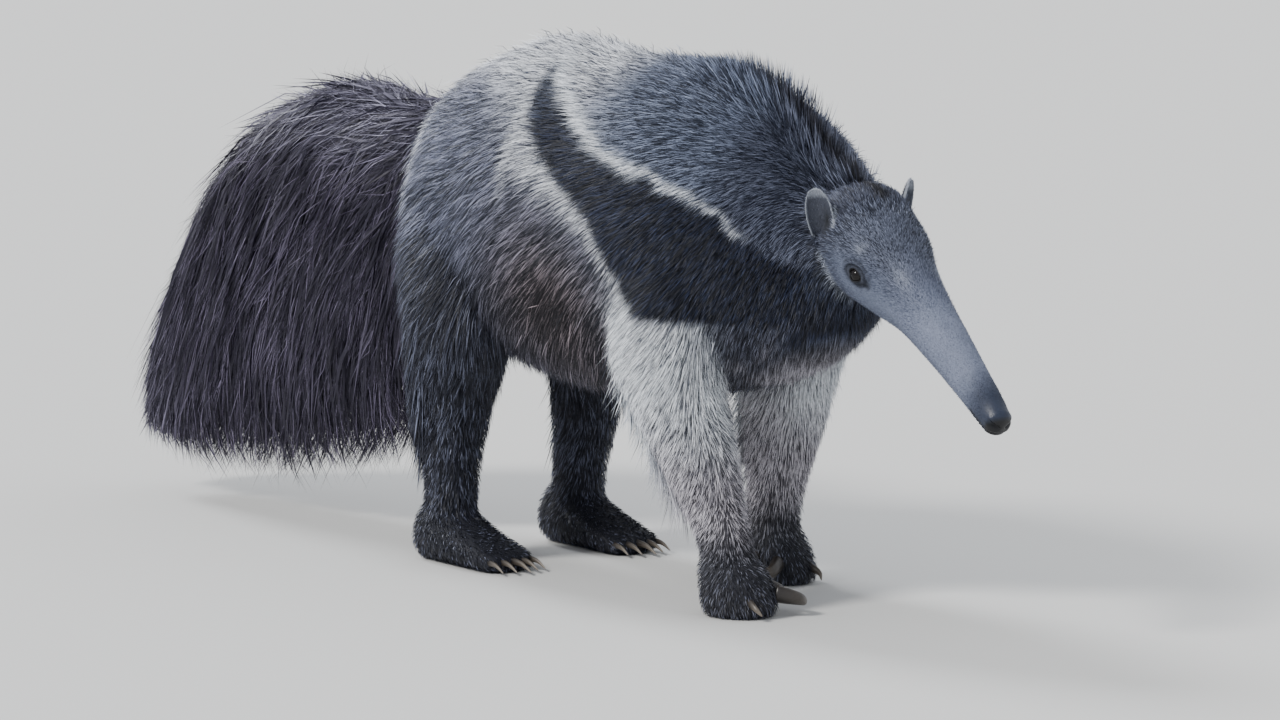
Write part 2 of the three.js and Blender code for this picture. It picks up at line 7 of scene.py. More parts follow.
import bmesh
import bpy
import numpy as np
from mathutils import Matrix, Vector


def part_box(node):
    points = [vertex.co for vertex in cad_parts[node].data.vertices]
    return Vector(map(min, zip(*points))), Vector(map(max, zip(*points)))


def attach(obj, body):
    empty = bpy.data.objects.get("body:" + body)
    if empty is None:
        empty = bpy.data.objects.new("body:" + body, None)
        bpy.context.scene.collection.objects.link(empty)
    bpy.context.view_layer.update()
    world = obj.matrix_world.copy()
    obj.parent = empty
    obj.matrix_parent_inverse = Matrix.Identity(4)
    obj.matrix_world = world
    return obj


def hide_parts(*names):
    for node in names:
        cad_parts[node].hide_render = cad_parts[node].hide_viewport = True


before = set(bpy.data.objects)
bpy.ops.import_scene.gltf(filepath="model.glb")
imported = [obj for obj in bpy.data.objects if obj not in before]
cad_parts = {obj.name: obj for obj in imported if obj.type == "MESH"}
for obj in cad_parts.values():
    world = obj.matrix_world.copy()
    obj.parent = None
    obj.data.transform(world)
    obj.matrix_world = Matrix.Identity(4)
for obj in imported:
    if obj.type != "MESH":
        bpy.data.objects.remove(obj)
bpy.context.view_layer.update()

# Driving dimensions, as in the solids
HEAD_LENGTH = 333.0
HEAD_PITCH = math.radians(34)
HEAD_TURN = math.radians(-5.6)
SKULL = np.array([365.0, 0.0, 431.0])
NAPE_X = 330  # behind it the hair of the head falls like the neck's
EYE_RADIUS = 8.5
EYE = {"along": 64.0, "side": 41.0, "up": -6.5}
EAR = {"height": 88.0, "half": 16.0, "cup": 9.0, "curl": 3.0, "along": 14.0, "side": 44.0, "up": -30.0}
RIDGE = 1.22
CREST_RISE = 16.0
FORE_Y = 95.0
HIND_Y = 97.0
FOOT_X = {"fore": {"right": 254.0, "left": 84.0}, "hind": {"right": -242.0, "left": -264.0}}
SIDES = {"right": -1, "left": 1}

# How far the skin lies under the outside of the coat
DEPTH = {
    "trunk": 13.0, "head": 3.0, "foreleg": 10.0, "hindleg": 10.0,
    "forefoot": 4.0, "hindfoot": 4.0, "tail": 10.0,
}
FACE_DEPTH = 2.0  # how far the skin lies under the solid's face
LOWEST = {"skin": 0.4, "tuft": 0.5, "claw": 0.6}  # how near each comes to the floor

PRIMES = np.array([73856093, 19349663, 83492791])  # they spread neighbouring cells over all numbers
SEED_PRIME = 26544357

rng = np.random.default_rng(2178)


# Numbers

def smooth(low, high, x):
    """0 below low, 1 above high, and a soft step between; low may be the larger."""
    t = np.clip((x - low) / (high - low), 0, 1)
    return t * t * (3 - 2 * t)


def mix(a, b, t):
    return a + (b - a) * t


def bell(x, width):
    return np.exp(-((x / width) ** 2))


def unit(v):
    return v / np.maximum(np.linalg.norm(v, axis=-1, keepdims=True), 1e-9)


def dot(a, b):
    return np.sum(a * b, axis=-1)


def col(x):
    return np.asarray(x)[..., None]


def joined(*parts):
    """Numbers or arrays side by side, as the last axis of one array."""
    return np.stack(np.broadcast_arrays(*parts), axis=-1)


def noise(points, size, seed=0):
    """Smooth noise from -1 to 1, with blobs about as wide as size."""
    q = np.asarray(points) / size
    cell = np.floor(q).astype(np.int64)
    share = q - cell
    share = share * share * (3 - 2 * share)
    total = np.zeros(q.shape[:-1])
    for corner in np.ndindex(2, 2, 2):
        a, b, c = np.moveaxis((cell + corner) * PRIMES, -1, 0)
        h = a ^ b ^ c ^ (seed * SEED_PRIME)
        h = ((h ^ (h >> 13)) * 1274126177) & 0xFFFFFFFF
        value = ((h ^ (h >> 15)) & 0xFFFF) / 32767.5 - 1
        total += value * np.prod(np.where(np.array(corner) == 1, share, 1 - share), axis=-1)
    return total


def linear(colour):
    """sRGB from 0 to 255 as linear numbers."""
    c = np.asarray(colour, float) / 255
    return np.where(c <= 0.04045, c / 12.92, ((c + 0.055) / 1.055) ** 2.4)


# Frames: the head's own, and the way from body millimetres to the frame's metres

snout = np.array([
    math.cos(HEAD_PITCH) * math.cos(HEAD_TURN),
    math.cos(HEAD_PITCH) * math.sin(HEAD_TURN),
    -math.sin(HEAD_PITCH),
])
head_left = unit(np.cross([0, 0, 1], snout))
head_up = np.cross(snout, head_left)
HEAD_AXES = np.stack([snout, head_left, head_up])


def head_point(along, side, up):
    return SKULL + joined(along, side, up) @ HEAD_AXES


def head_coords(p):
    return (p - SKULL) @ HEAD_AXES.T


def centre_of(node):
    low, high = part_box(node)
    return (np.array(low) + np.array(high)) / 2


EYE_CENTRE = {side: head_point(EYE["along"], EYE["side"] * m, EYE["up"]) for side, m in SIDES.items()}
SHIFT = centre_of("eye_right") - EYE_CENTRE["right"] / 1000


def place(points):
    return np.asarray(points) / 1000 + SHIFT


# Forms: stacks of rounded sections, as in the solids. A row is [u, middle, high, low, half, centre].

AXES = {"x": (0, 1, 2), "z": (2, 1, 0)}  # which coordinates are u, across and up
LEAST_CAP = 4.0


class Form:
    """A stack of rounded sections, smooth between its rows, with a flatter top where ridge is over 1."""

    def __init__(self, rows, axis, ridge=1.0):
        rows = np.array([list(r) + [0.0] * (6 - len(r)) for r in rows], float)
        self.start, self.end = rows[0, 0], rows[-1, 0]
        self.rows = rows if rows[-1, 0] > rows[0, 0] else rows[::-1]
        self.axis = axis
        self.ridge = ridge

    def split(self, p):
        if self.axis == "head":
            p = head_coords(p)
            return p[..., 0], p[..., 1], p[..., 2]
        a, b, c = AXES[self.axis]
        return p[..., a], p[..., b], p[..., c]

    def join(self, u, across, up):
        if self.axis == "head":
            return head_point(u, across, up)
        parts = np.broadcast_arrays(u, across, up)
        a, b, c = AXES[self.axis]
        out = np.empty(parts[0].shape + (3,))
        out[..., a], out[..., b], out[..., c] = parts
        return out

    def row_at(self, u):
        rows = self.rows
        i = np.clip(np.searchsorted(rows[:, 0], u), 1, len(rows) - 1)
        before, after = rows[i - 1], rows[i]
        earlier, later = rows[np.maximum(i - 2, 0)], rows[np.minimum(i + 1, len(rows) - 1)]
        span = col(after[..., 0] - before[..., 0])
        t = np.clip(col(u - before[..., 0]) / span, 0, 1)
        slope_in = (after - earlier) / col(after[..., 0] - earlier[..., 0]) * span
        slope_out = (later - before) / col(later[..., 0] - before[..., 0]) * span
        row = (
            before * (1 + 2 * t) * (1 - t) ** 2
            + slope_in * t * (1 - t) ** 2
            + after * t * t * (3 - 2 * t)
            + slope_out * t * t * (t - 1)
        )
        return np.moveaxis(row, -1, 0)

    def point(self, u, angle, grow=0.0, scale=1.0):
        u, angle = np.broadcast_arrays(np.asarray(u, float), angle)
        _, middle, high, low, half, centre = self.row_at(u)
        rise = np.sin(angle)
        power = np.where(rise > 0, self.ridge, 1.0)
        across = np.sign(np.cos(angle)) * np.abs(np.cos(angle)) ** power
        reach = np.where(rise > 0, high - middle, middle - low) * scale + grow
        return self.join(u, centre + across * (half * scale + grow), middle + rise * reach)

    def locate(self, p):
        """u, angle and rough distance outside the surface, for each point."""
        u, across, up = self.split(p)
        clipped = np.clip(u, self.rows[0, 0], self.rows[-1, 0])
        _, middle, high, low, half, centre = self.row_at(clipped)
        dy, dz = across - centre, up - middle
        reach = np.maximum(np.where(dz > 0, high - middle, middle - low), 1.0)
        power = np.where(dz > 0, self.ridge, 1.0)
        ratio = np.sqrt((np.abs(dy) / half) ** (2 / power) + (dz / reach) ** 2)
        ratio = np.maximum(ratio, 1e-3)
        gap = np.hypot(dy, dz) * (1 - 1 / ratio)
        over = np.abs(u - clipped)
        gap = np.where(over > 0, np.hypot(np.maximum(gap, 0), over), gap)
        return u, np.arctan2(dz / reach, dy / half), gap

    def normal(self, u, angle):
        here = self.point(u, angle)
        along = self.point(np.asarray(u) + 1, angle) - here
        around = self.point(u, np.asarray(angle) + 0.02) - here
        normal = unit(np.cross(along, around))
        outward = self.point(u, angle, 1.0) - here
        return normal * col(np.where(dot(normal, outward) < 0, -1.0, 1.0))

    def tube(self, grow=0.0, sides=40, rings=40, cap_start=0.0, cap_end=0.0, flat_end=False):
        """Rings of points that close at both ends, round over each cap's length or flat at the end."""
        way = np.sign(self.end - self.start)
        cap_start, cap_end = max(cap_start, LEAST_CAP), max(cap_end, LEAST_CAP)
        turns = np.linspace(0, math.pi / 2, 7)[1:-1]

        def cap(end, inward, size):
            return [(end + inward * (size * (1 - math.cos(t)) - grow), math.sin(t)) for t in turns]

        cuts = cap(self.start, way, cap_start)
        cuts += [(u, 1.0) for u in np.linspace(self.start + way * cap_start, self.end - way * cap_end, rings)]
        cuts += [(self.end, 1.0)] if flat_end else cap(self.end, -way, cap_end)[::-1]
        angles = np.arange(sides) * 2 * math.pi / sides
        return [self.point(np.full(sides, u), angles, grow * scale, scale) for u, scale in cuts]


TRUNK_ROWS = [
    [-396, 432, 464, 402, 18],
    [-388, 428, 480, 366, 38],
    [-363, 418, 504, 318, 62],
    [-328, 406, 530, 276, 92],
    [-280, 394, 558, 244, 122],
    [-164, 384, 596, 226, 145],
    [-20, 380, 590, 216, 149],
    [70, 385, 594, 218, 145],
    [150, 395, 590 - CREST_RISE * 0.4, 230, 135],
    [233, 410, 570 - CREST_RISE, 250, 117],
    [278, 414, 534 - CREST_RISE, 268, 99],
    [318, 416, 506 - CREST_RISE, 292, 80],
    [350, 416, 482, 322, 62],
    [366, 415, 474, 352, 40],
]
HEAD_ROWS = [
    [-42, -6, 34, -66, 46],
    [-12, -2, 53, -68, 57],
    [30, 0, 54, -62, 54.5],
    [64, 0, 50, -56, 48],
    [100, 0, 43, -46, 40],
    [145, 1, 37, -32, 33],
    [200, 2, 32, -25, 28],
    [250, 1, 27, -22, 23.5],
    [295, 0, 22, -19.5, 20.5],
    [HEAD_LENGTH, -2, 16, -18.5, 17],
]
# A leg's rows are [z, x, front, back, half width, y], with y to the outside.
FORELEG_ROWS = {
    "right": [
        [430, 144, 76, 80, 54, 58],
        [358, 141, 84, 80, 60, 84],
        [290, 141, 74, 66, 61, 99],
        [235, 155, 62, 52, 57, 99],
        [178, 184, 54, 44, 50, 97],
        [122, 214, 44, 38, 42, 95],
        [74, 238, 38, 36, 37, 94],
        [40, 248, 36, 35, 36, 93],
    ],
    "left": [
        [430, 140, 76, 80, 54, 58],
        [358, 128, 82, 80, 60, 84],
        [290, 114, 72, 66, 61, 99],
        [232, 104, 60, 52, 57, 99],
        [172, 96, 52, 44, 49, 97],
        [116, 87, 42, 38, 41, 96],
        [72, 81, 38, 36, 37, 95],
        [40, 80, 36, 35, 36, 94],
    ],
}
HINDLEG_ROWS = [
    [430, -262, 96, 88, 58, 58],
    [352, -250, 100, 76, 65, 84],
    [275, -236, 80, 62, 62, 100],
    [205, -248, 57, 48, 52, 101],
    [145, -254, 44, 42, 43, 100],
    [94, -258, 38, 41, 36, 98],
    [52, -260, 34, 37, 34, 97],
]
HIND_STEP = {"right": 8, "left": -14}
FORE_FOOT_ROWS = [
    [66, -12, 36, 34, 34],
    [54, -8, 42, 37, 38],
    [36, 0, 49, 40, 42],
    [16, 5, 53, 42, 44],
    [0, 7, 48, 39, 41],
]
HIND_FOOT_ROWS = [
    [-66, 24, 56, 26],
    [-38, 28, 74, 32],
    [0, 26, 68, 37],
    [45, 20, 46, 41],
    [82, 15, 31, 42],
    [108, 11, 22, 38],
]
TAIL_ROWS = [
    [-352, 425, 476, 352, 38],
    [-380, 428, 488, 270, 50],
    [-410, 430, 488, 180, 58],
    [-455, 432, 489, 105, 64],
    [-525, 430, 494, 74, 67],
    [-600, 418, 484, 58, 67],
    [-680, 390, 453, 48, 65],
    [-742, 345, 402, 42, 60],
    [-792, 285, 341, 42, 54],
    [-838, 222, 274, 44, 46],
    [-881, 165, 205, 52, 36],
    [-914, 112, 138, 68, 22],
    [-928, 98, 112, 82, 10],
]
TAIL_CORE_ROWS = [
    [-350, 425, 470, 366, 36],
    [-400, 430, 468, 318, 46],
    [-470, 432, 468, 278, 50],
    [-550, 425, 465, 256, 50],
    [-630, 405, 445, 242, 48],
    [-700, 368, 408, 226, 44],
    [-760, 312, 350, 204, 36],
    [-812, 250, 280, 178, 24],
    [-838, 215, 232, 184, 10],
]


def leg_form(rows, mirror, step=0.0):
    made = []
    for z, x, front, back, half, y in rows:
        at = x + step * (1 - z / rows[0][0])
        made.append([z, at, at + front, at - back, half, y * mirror])
    return Form(made, "z")


def forefoot_form(side):
    x = FOOT_X["fore"][side]
    y = FORE_Y * SIDES[side]
    return Form([[z, x + dx, x + dx + f, x + dx - b, half, y] for z, dx, f, b, half in FORE_FOOT_ROWS], "z")


def hindfoot_form(side):
    x = FOOT_X["hind"][side]
    y = HIND_Y * SIDES[side]
    return Form([[x + dx, middle, top, -6, half, y] for dx, middle, top, half in HIND_FOOT_ROWS], "x")


trunk = Form(TRUNK_ROWS, "x", RIDGE)
head = Form(HEAD_ROWS, "head")
tail = Form(TAIL_ROWS, "x")
tail_core = Form(TAIL_CORE_ROWS, "x")
foreleg = {side: leg_form(FORELEG_ROWS[side], m) for side, m in SIDES.items()}
hindleg = {side: leg_form(HINDLEG_ROWS, m, HIND_STEP[side]) for side, m in SIDES.items()}
forefoot = {side: forefoot_form(side) for side in SIDES}
hindfoot = {side: hindfoot_form(side) for side in SIDES}

# Every form that the skin is made of: its kind, the form, and how it closes
PARTS = [
    ("trunk", trunk, {"sides": 72, "rings": 90}),
    ("head", head, {"sides": 64, "rings": 90, "cap_end": 13}),
]
for side in SIDES:
    PARTS.append(("foreleg", foreleg[side], {"rings": 50}))
    PARTS.append(("hindleg", hindleg[side], {"rings": 50}))
    PARTS.append(("forefoot", forefoot[side], {"rings": 14, "cap_start": 8, "flat_end": True}))
    PARTS.append(("hindfoot", hindfoot[side], {"rings": 24, "cap_start": 16, "cap_end": 14}))
PARTS.append(("tail", tail_core, {"sides": 48, "rings": 60}))
KINDS = list(DEPTH)
BLEND = 9.0  # how softly the parts pass into each other


def shares(p):
    """How much each point of the skin belongs to each kind of part, as an array a kind."""
    gaps = {kind: np.full(len(p), 1e6) for kind in KINDS}
    for kind, form, _ in PARTS:
        gap = form.locate(p)[2] + DEPTH[kind]
        gaps[kind] = np.minimum(gaps[kind], gap)
    least = np.min(list(gaps.values()), axis=0)
    raw = {kind: np.exp(-np.minimum((gap - least) / BLEND, 50)) for kind, gap in gaps.items()}
    total = sum(raw.values())
    return {kind: value / total for kind, value in raw.items()}


# Meshes

def closed(rings):
    """Vertices and faces of a tube of rings, closed at both ends."""
    sides = len(rings[0])
    points = np.concatenate([*rings, rings[0].mean(0)[None], rings[-1].mean(0)[None]])
    first, last = len(points) - 2, len(points) - 1
    i = np.arange(sides)
    j = (i + 1) % sides
    faces = []
    for r in range(len(rings) - 1):
        a = r * sides
        faces += np.stack([a + i, a + j, a + sides + j, a + sides + i], 1).tolist()
    end = (len(rings) - 1) * sides
    faces += np.stack([j, i, np.full(sides, first)], 1).tolist()
    faces += np.stack([end + i, end + j, np.full(sides, last)], 1).tolist()
    return points, faces


def add_object(name, data):
    obj = bpy.data.objects.new(name, data)
    bpy.context.scene.collection.objects.link(obj)
    return obj


def mesh_object(name, points, faces):
    mesh = bpy.data.meshes.new(name)
    mesh.from_pydata(np.asarray(points).tolist(), [], faces)
    mesh.update()
    return add_object(name, mesh)


def read(items, name, width=3, kind=np.float32):
    """One property of every item, as rows of so many numbers."""
    values = np.empty(len(items) * width, kind)
    items.foreach_get(name, values)
    return values.reshape(-1, width)


def coordinates(mesh):
    return read(mesh.vertices, "co").astype(float)


def set_coordinates(mesh, points):
    mesh.vertices.foreach_set("co", points.astype(np.float32).ravel())
    mesh.update()


def set_colours(mesh, colours):
    attribute = mesh.color_attributes.new("coat", "FLOAT_COLOR", "POINT")
    filled = np.concatenate([colours, np.ones((len(colours), 1))], axis=1)
    attribute.data.foreach_set("color", filled.astype(np.float32).ravel())


def dress(obj, colours, material, slot, *replaced):
    """Gives a piece smooth faces, its colours and material, and lets it ride on the body in place of the
    replaced nodes."""
    obj.data.polygons.foreach_set("use_smooth", np.ones(len(obj.data.polygons), bool))
    set_colours(obj.data, colours)
    obj.data.materials.append(material)
    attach(obj, "root")
    if replaced:
        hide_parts(*replaced)


def relax(points, edges, rounds, amount):
    """Moves each point towards the middle of its neighbours, amount being 0 to 1 a point."""
    a, b = edges[:, 0], edges[:, 1]
    count = np.bincount(edges.ravel(), minlength=len(points))[:, None]
    for _ in range(rounds):
        total = np.zeros_like(points)
        for k in range(3):
            for here, there in ((a, b), (b, a)):
                total[:, k] += np.bincount(here, points[there, k], len(points))
        points = points + (total / np.maximum(count, 1) - points) * amount[:, None]
    return points


# Skin

VOXEL = 5.9
RELAX_ROUNDS = 10
# The faces of the head that each round splits: those beyond this place along it, or this near to an eye
DETAIL = [(-math.inf, math.inf), (262, 34), (286, 17), (math.inf, 17)]
TOES = [-26, -13, 0, 13, 26]
TOE = {"root": 52.0, "tip": 104.0, "radius": 9.0, "root_z": 20.0, "tip_z": 9.5}


def toe(side, y):
    """A rounded toe under the front of the hind foot, as a short closed tube."""
    x = FOOT_X["hind"][side]
    middle_y = HIND_Y * SIDES[side]
    start = np.array([x + TOE["root"], middle_y + y * 0.8, TOE["root_z"]])
    end = np.array([x + TOE["tip"] - abs(y) * 0.35, middle_y + y * 1.12, TOE["tip_z"]])
    angles = np.arange(16) * 2 * math.pi / 16
    rings = []
    for t in np.linspace(0, 1, 12):
        radius = TOE["radius"] * math.sqrt(max(1 - (2 * t - 1) ** 6, 0.0)) + 0.3
        ring = np.stack([np.zeros(16), np.cos(angles) * radius * 0.85, np.sin(angles) * radius], 1)
        rings.append(mix(start, end, t) + ring)
    return closed(rings)


def raw_skin():
    """All forms of the body as one closed mesh without seams, in body millimetres."""
    points, faces, offset = [], [], 0
    solids = [closed(form.tube(grow=-DEPTH[kind], **how)) for kind, form, how in PARTS]
    solids += [toe(side, y) for side in SIDES for y in TOES]
    for p, f in solids:
        points.append(p)
        faces += [[i + offset for i in face] for face in f]
        offset += len(p)
    rough = mesh_object("rough", np.concatenate(points), faces)
    remesh = rough.modifiers.new("one", "REMESH")
    remesh.mode = "VOXEL"
    remesh.voxel_size = VOXEL
    evaluated = rough.evaluated_get(bpy.context.evaluated_depsgraph_get())
    mesh = bpy.data.meshes.new_from_object(evaluated)
    bpy.data.objects.remove(rough)
    return mesh


def refine(mesh, wanted, rounds):
    """Splits the faces whose middles wanted picks, once for each round."""
    bm = bmesh.new()
    bm.from_mesh(mesh)
    for level in range(rounds):
        bm.faces.ensure_lookup_table()
        middles = np.array([f.calc_center_median() for f in bm.faces])
        picked = np.nonzero(wanted(middles, level))[0]
        edges = {e for i in picked for e in bm.faces[i].edges}
        bmesh.ops.subdivide_edges(bm, edges=list(edges), cuts=1, use_grid_fill=True)
    bm.to_mesh(mesh)
    bm.free()
    mesh.update()


def near_head(p):
    """Whether a point is on the head, and not on a leg under it."""
    return (head_coords(p)[:, 0] > 10) & (head.locate(p)[2] < 10)


def wants_detail(p, level):
    beyond, within = DETAIL[level]
    eye = np.min([np.linalg.norm(p - c, axis=1) for c in EYE_CENTRE.values()], axis=0)
    return near_head(p) & ((head_coords(p)[:, 0] > beyond) | (eye < within))


LID = {"half": 7.2, "tall": 5.8, "up": 1.3, "tilt": math.radians(8), "thick": 0.9, "facing": 0.16}
LIDS_END = 3.4  # how far the lids and their folds reach, in lid sizes
FAR_FROM_EYES = 9.0
MOUTH = {"length": 44.0, "up": -9.5, "slope": math.tan(math.radians(3)), "deep": 3.2}
NOSTRIL = {"from_tip": 7.0, "up": 1.5}
NOSE_CAP = 13.0


def eye_view(p, mirror):
    """How far from the middle of the lids in lid sizes, the angle round it with 0 to the nose, and whether a
    point is on this eye's side."""
    along, side, up = head_coords(p).T
    e, w = along - EYE["along"], up - EYE["up"] - LID["up"]
    c, s = math.cos(LID["tilt"]), math.sin(LID["tilt"])
    a, b = e * c + w * s, w * c - e * s
    angle = np.arctan2(b, a)
    size = np.hypot(a / LID["half"], b / LID["tall"])
    # The front corner is drawn out towards the snout.
    size = size / (1 + 0.24 * bell(angle + 0.15, 0.4))
    return size, angle, side * mirror > 0


def nearest_eye(p):
    """How far from the middle of the lids on the same side, in lid sizes."""
    views = [eye_view(p, mirror) for mirror in SIDES.values()]
    return np.min([np.where(near, size, FAR_FROM_EYES) for size, _, near in views], axis=0)


def lid_folds(size, angle):
    """The heights of the rims and creases round an eye, and how much painted shade lies in each."""
    above = smooth(-0.35, 0.5, np.sin(angle))
    height = 0.55 * bell(size - 1.3, 0.2) - 0.9 * bell(size - 1.78, 0.17)
    height = height + 0.6 * bell(size - 2.2, 0.24) * above
    height = height - 0.9 * bell(size - 2.75, 0.25) * above - 0.6 * bell(size - 2.25, 0.25) * (1 - above)
    tear = bell(angle + 0.55 - 0.1 * size, 0.16) * smooth(1.1, 1.5, size) * smooth(3.2, 2.2, size)
    height = height - 0.8 * tear
    # Painted shade in the creases and in the groove at the front corner, and dark at the rim of the opening.
    dark = 0.75 * bell(size - 1.78, 0.2) + 0.6 * bell(size - 2.75, 0.3) * above + 0.7 * tear
    return height, np.clip(dark + smooth(1.16, 1.02, size), 0, 1)


def slit_height(along):
    """How high the line of the mouth is."""
    return MOUTH["up"] + (HEAD_LENGTH - along) * MOUTH["slope"]


def face_shape(p, along, side, up):
    """The skin laid on the solid's face with a round nose, brow, cheek and jaw, and the face's middle line."""
    share = smooth(14, 44, along)
    base = HEAD_LENGTH - NOSE_CAP
    _, middle, high, low, half, _ = head.row_at(np.clip(along, HEAD_ROWS[0][0], base))
    dz = up - middle
    reach = np.where(dz > 0, high - middle, middle - low) - FACE_DEPTH
    half = half - FACE_DEPTH
    angle = np.arctan2(dz / reach, side / half)
    over = np.maximum(along - base, 0)
    size = np.sqrt((over / NOSE_CAP) ** 2 + (side / half) ** 2 + (dz / reach) ** 2)
    new_along = np.where(over > 0, base + over / size, along)
    new_side = np.where(over > 0, side / size, mix(side, np.cos(angle) * half, share))
    new_up = np.where(over > 0, middle + dz / size, mix(up, middle + np.sin(angle) * reach, share))

    flank, rise = np.abs(np.cos(angle)), np.sin(angle)
    brow = 2.4 * bell(along - 56, 24) * bell(rise - 0.5, 0.26)
    hollow = -2.2 * bell(along - 116, 34) * flank**2
    jaw = 1.8 * bell(along - 52, 40) * bell(rise + 0.72, 0.28)
    wrinkles = 0.25 * np.sin(along * 1.1 + 2.0 * noise(p, 14, 51))
    wrinkles = wrinkles * smooth(0.2, -0.6, rise) * smooth(150, 230, along)
    push = (brow + hollow + jaw + wrinkles) * share * (over <= 0)
    return new_along, new_side + np.cos(angle) * push, new_up + rise * push, middle


def eye_relief(p, along, side, up):
    """The side of each point, once the lids lie over the eyes with their rims and creases."""
    for mirror in SIDES.values():
        size, round_eye, near = eye_view(p, mirror)
        rho = np.hypot(along - EYE["along"], up - EYE["up"])
        ball = EYE["side"] + np.sqrt(np.maximum((EYE_RADIUS + LID["thick"]) ** 2 - rho**2, 5.0))
        plain = side * mirror - LID["facing"] * (along - EYE["along"]) * smooth(3.2, 1.6, size)
        lid = np.maximum(ball, plain - 1.0)
        shaped = mix(lid, plain, smooth(1.4, 2.2, size)) + lid_folds(size, round_eye)[0]
        shaped = mix(EYE["side"] + 2.0, shaped, smooth(0.97, 1.07, size))
        side = np.where(near & (size < LIDS_END), shaped * mirror, side)
    return side


def mouth_relief(along, new_along, side, up, middle):
    """A groove round the tip, low on the snout, with soft lips."""
    from_slit = up - slit_height(along)
    corner = HEAD_LENGTH - MOUTH["length"]
    reaches = smooth(corner - 8, corner + 10, along)
    groove = 0.8 * bell(np.abs(from_slit) - 3.0, 1.5) - MOUTH["deep"] * bell(from_slit, 1.2)
    radius = np.hypot(side, up - middle)
    scale = 1 + groove * reaches / np.maximum(radius, 7.0)
    pulled = new_along + groove * reaches * smooth(HEAD_LENGTH - 12, HEAD_LENGTH - 2, along) * 0.7
    return pulled, side * scale, middle + (up - middle) * scale


def nostril_relief(along, old_side, new_along, side, up):
    """Slanted slits low on the sides of the nose, under a soft wing."""
    for mirror in SIDES.values():
        a = along - (HEAD_LENGTH - NOSTRIL["from_tip"])
        v = up - NOSTRIL["up"] + 0.55 * a
        beside = smooth(1.0, 6.0, old_side * mirror)
        pit = bell(a, 5.2) * bell(v, 2.2) * beside
        wing = bell(np.hypot(a * 0.8, v) - 5.0, 1.7) * beside
        side = side - mirror * (pit * 4.2 - wing * 0.7)
        new_along = new_along - pit * 3.0 * smooth(HEAD_LENGTH - 12, HEAD_LENGTH - 3, along)
    return new_along, side


def head_relief(p):
    """The skin of the head, moved onto its true shape and given its lids, mouth and nostrils."""
    along, old_side, old_up = head_coords(p).T
    new_along, side, up, middle = face_shape(p, along, old_side, old_up)
    side = eye_relief(p, along, side, up)
    new_along, side, up = mouth_relief(along, new_along, side, up, middle)
    new_along, side = nostril_relief(along, old_side, new_along, side, up)
    return head_point(new_along, side, up)


EAR_LEAN = {"right": (0.14, -0.34, 0.93), "left": (-0.1, 0.38, 0.9)}
EAR_FACING = {"right": (0.5, -0.84, 0), "left": (0.8, 0.6, 0)}
EAR_OUT = 32.0  # how far up its own length an ear comes out of the head


def ear_axes(side):
    """The ear's root, and the ways along it, out of its cup and across it."""
    mirror = SIDES[side]
    tall = unit(np.array(EAR_LEAN[side], float))
    outward = np.array(EAR_FACING[side])
    outward = unit(outward - tall * outward.dot(tall))
    root = head_point(EAR["along"], EAR["side"] * mirror, EAR["up"])
    return root, tall, outward, np.cross(tall, outward)


def ear_half(share):
    """Half the ear's width, share going from 0 at the root to 1 at the tip."""
    tip = np.clip((share - 0.6) / 0.42, 0, 1)
    return EAR["half"] * mix(0.44, 1.0, smooth(0, 0.62, share)) * np.sqrt(1 - tip**2.5)


def ear_cup(share, half):
    """How deep the ear's cup is."""
    return EAR["cup"] * (half / EAR["half"]) ** 0.7 * (1.25 - 0.45 * share)


def ear_rings(side):
    root, tall, outward, across = ear_axes(side)
    turns = np.linspace(0, math.pi, 20)[:, None]
    rings = []
    for share in np.linspace(0, 1, 40):
        half = ear_half(share)
        cup = ear_cup(share, half)
        wall = 1.6 + 1.6 * (1 - share)
        centre = root + tall * EAR["height"] * share - outward * EAR["curl"] * share**3
        back = centre - across * np.cos(turns) * half - outward * np.sin(turns) * cup
        inner = max(half - wall * 0.6, 0.4)
        front = centre - across * np.cos(turns) * inner - outward * np.sin(turns) * max(cup - wall, 0.3)
        rings.append(np.concatenate([back, front[::-1]]))
    return rings


def ear_view(p):
    """How much a point is on an ear, its share of the height, its share across (1 in front) and in the cup."""
    on, high, wide, inside = (np.zeros(len(p)) for _ in range(4))
    for side in SIDES:
        root, tall, outward, across = ear_axes(side)
        local = p - root
        h, o, c = local @ tall, local @ outward, local @ across
        share = np.clip(h / EAR["height"], 0, 1)
        half = np.maximum(ear_half(share), 1.0)
        cup = ear_cup(share, half)
        close = (np.abs(c) < half + 1.5) * (np.abs(o + cup / 2) < cup / 2 + 4.5)
        here = smooth(EAR_OUT - 3, EAR_OUT + 5, h) * (h < EAR["height"] + 12) * close
        bowl = -cup * np.sqrt(np.clip(1 - (c / half) ** 2, 0, 1)) - EAR["curl"] * share**3
        use = here > on
        on = np.where(use, here, on)
        high = np.where(use, share, high)
        wide = np.where(use, -c / half * SIDES[side], wide)
        inside = np.where(use, smooth(0.5, 1.5, o - bowl), inside)
    return on, high, wide, inside


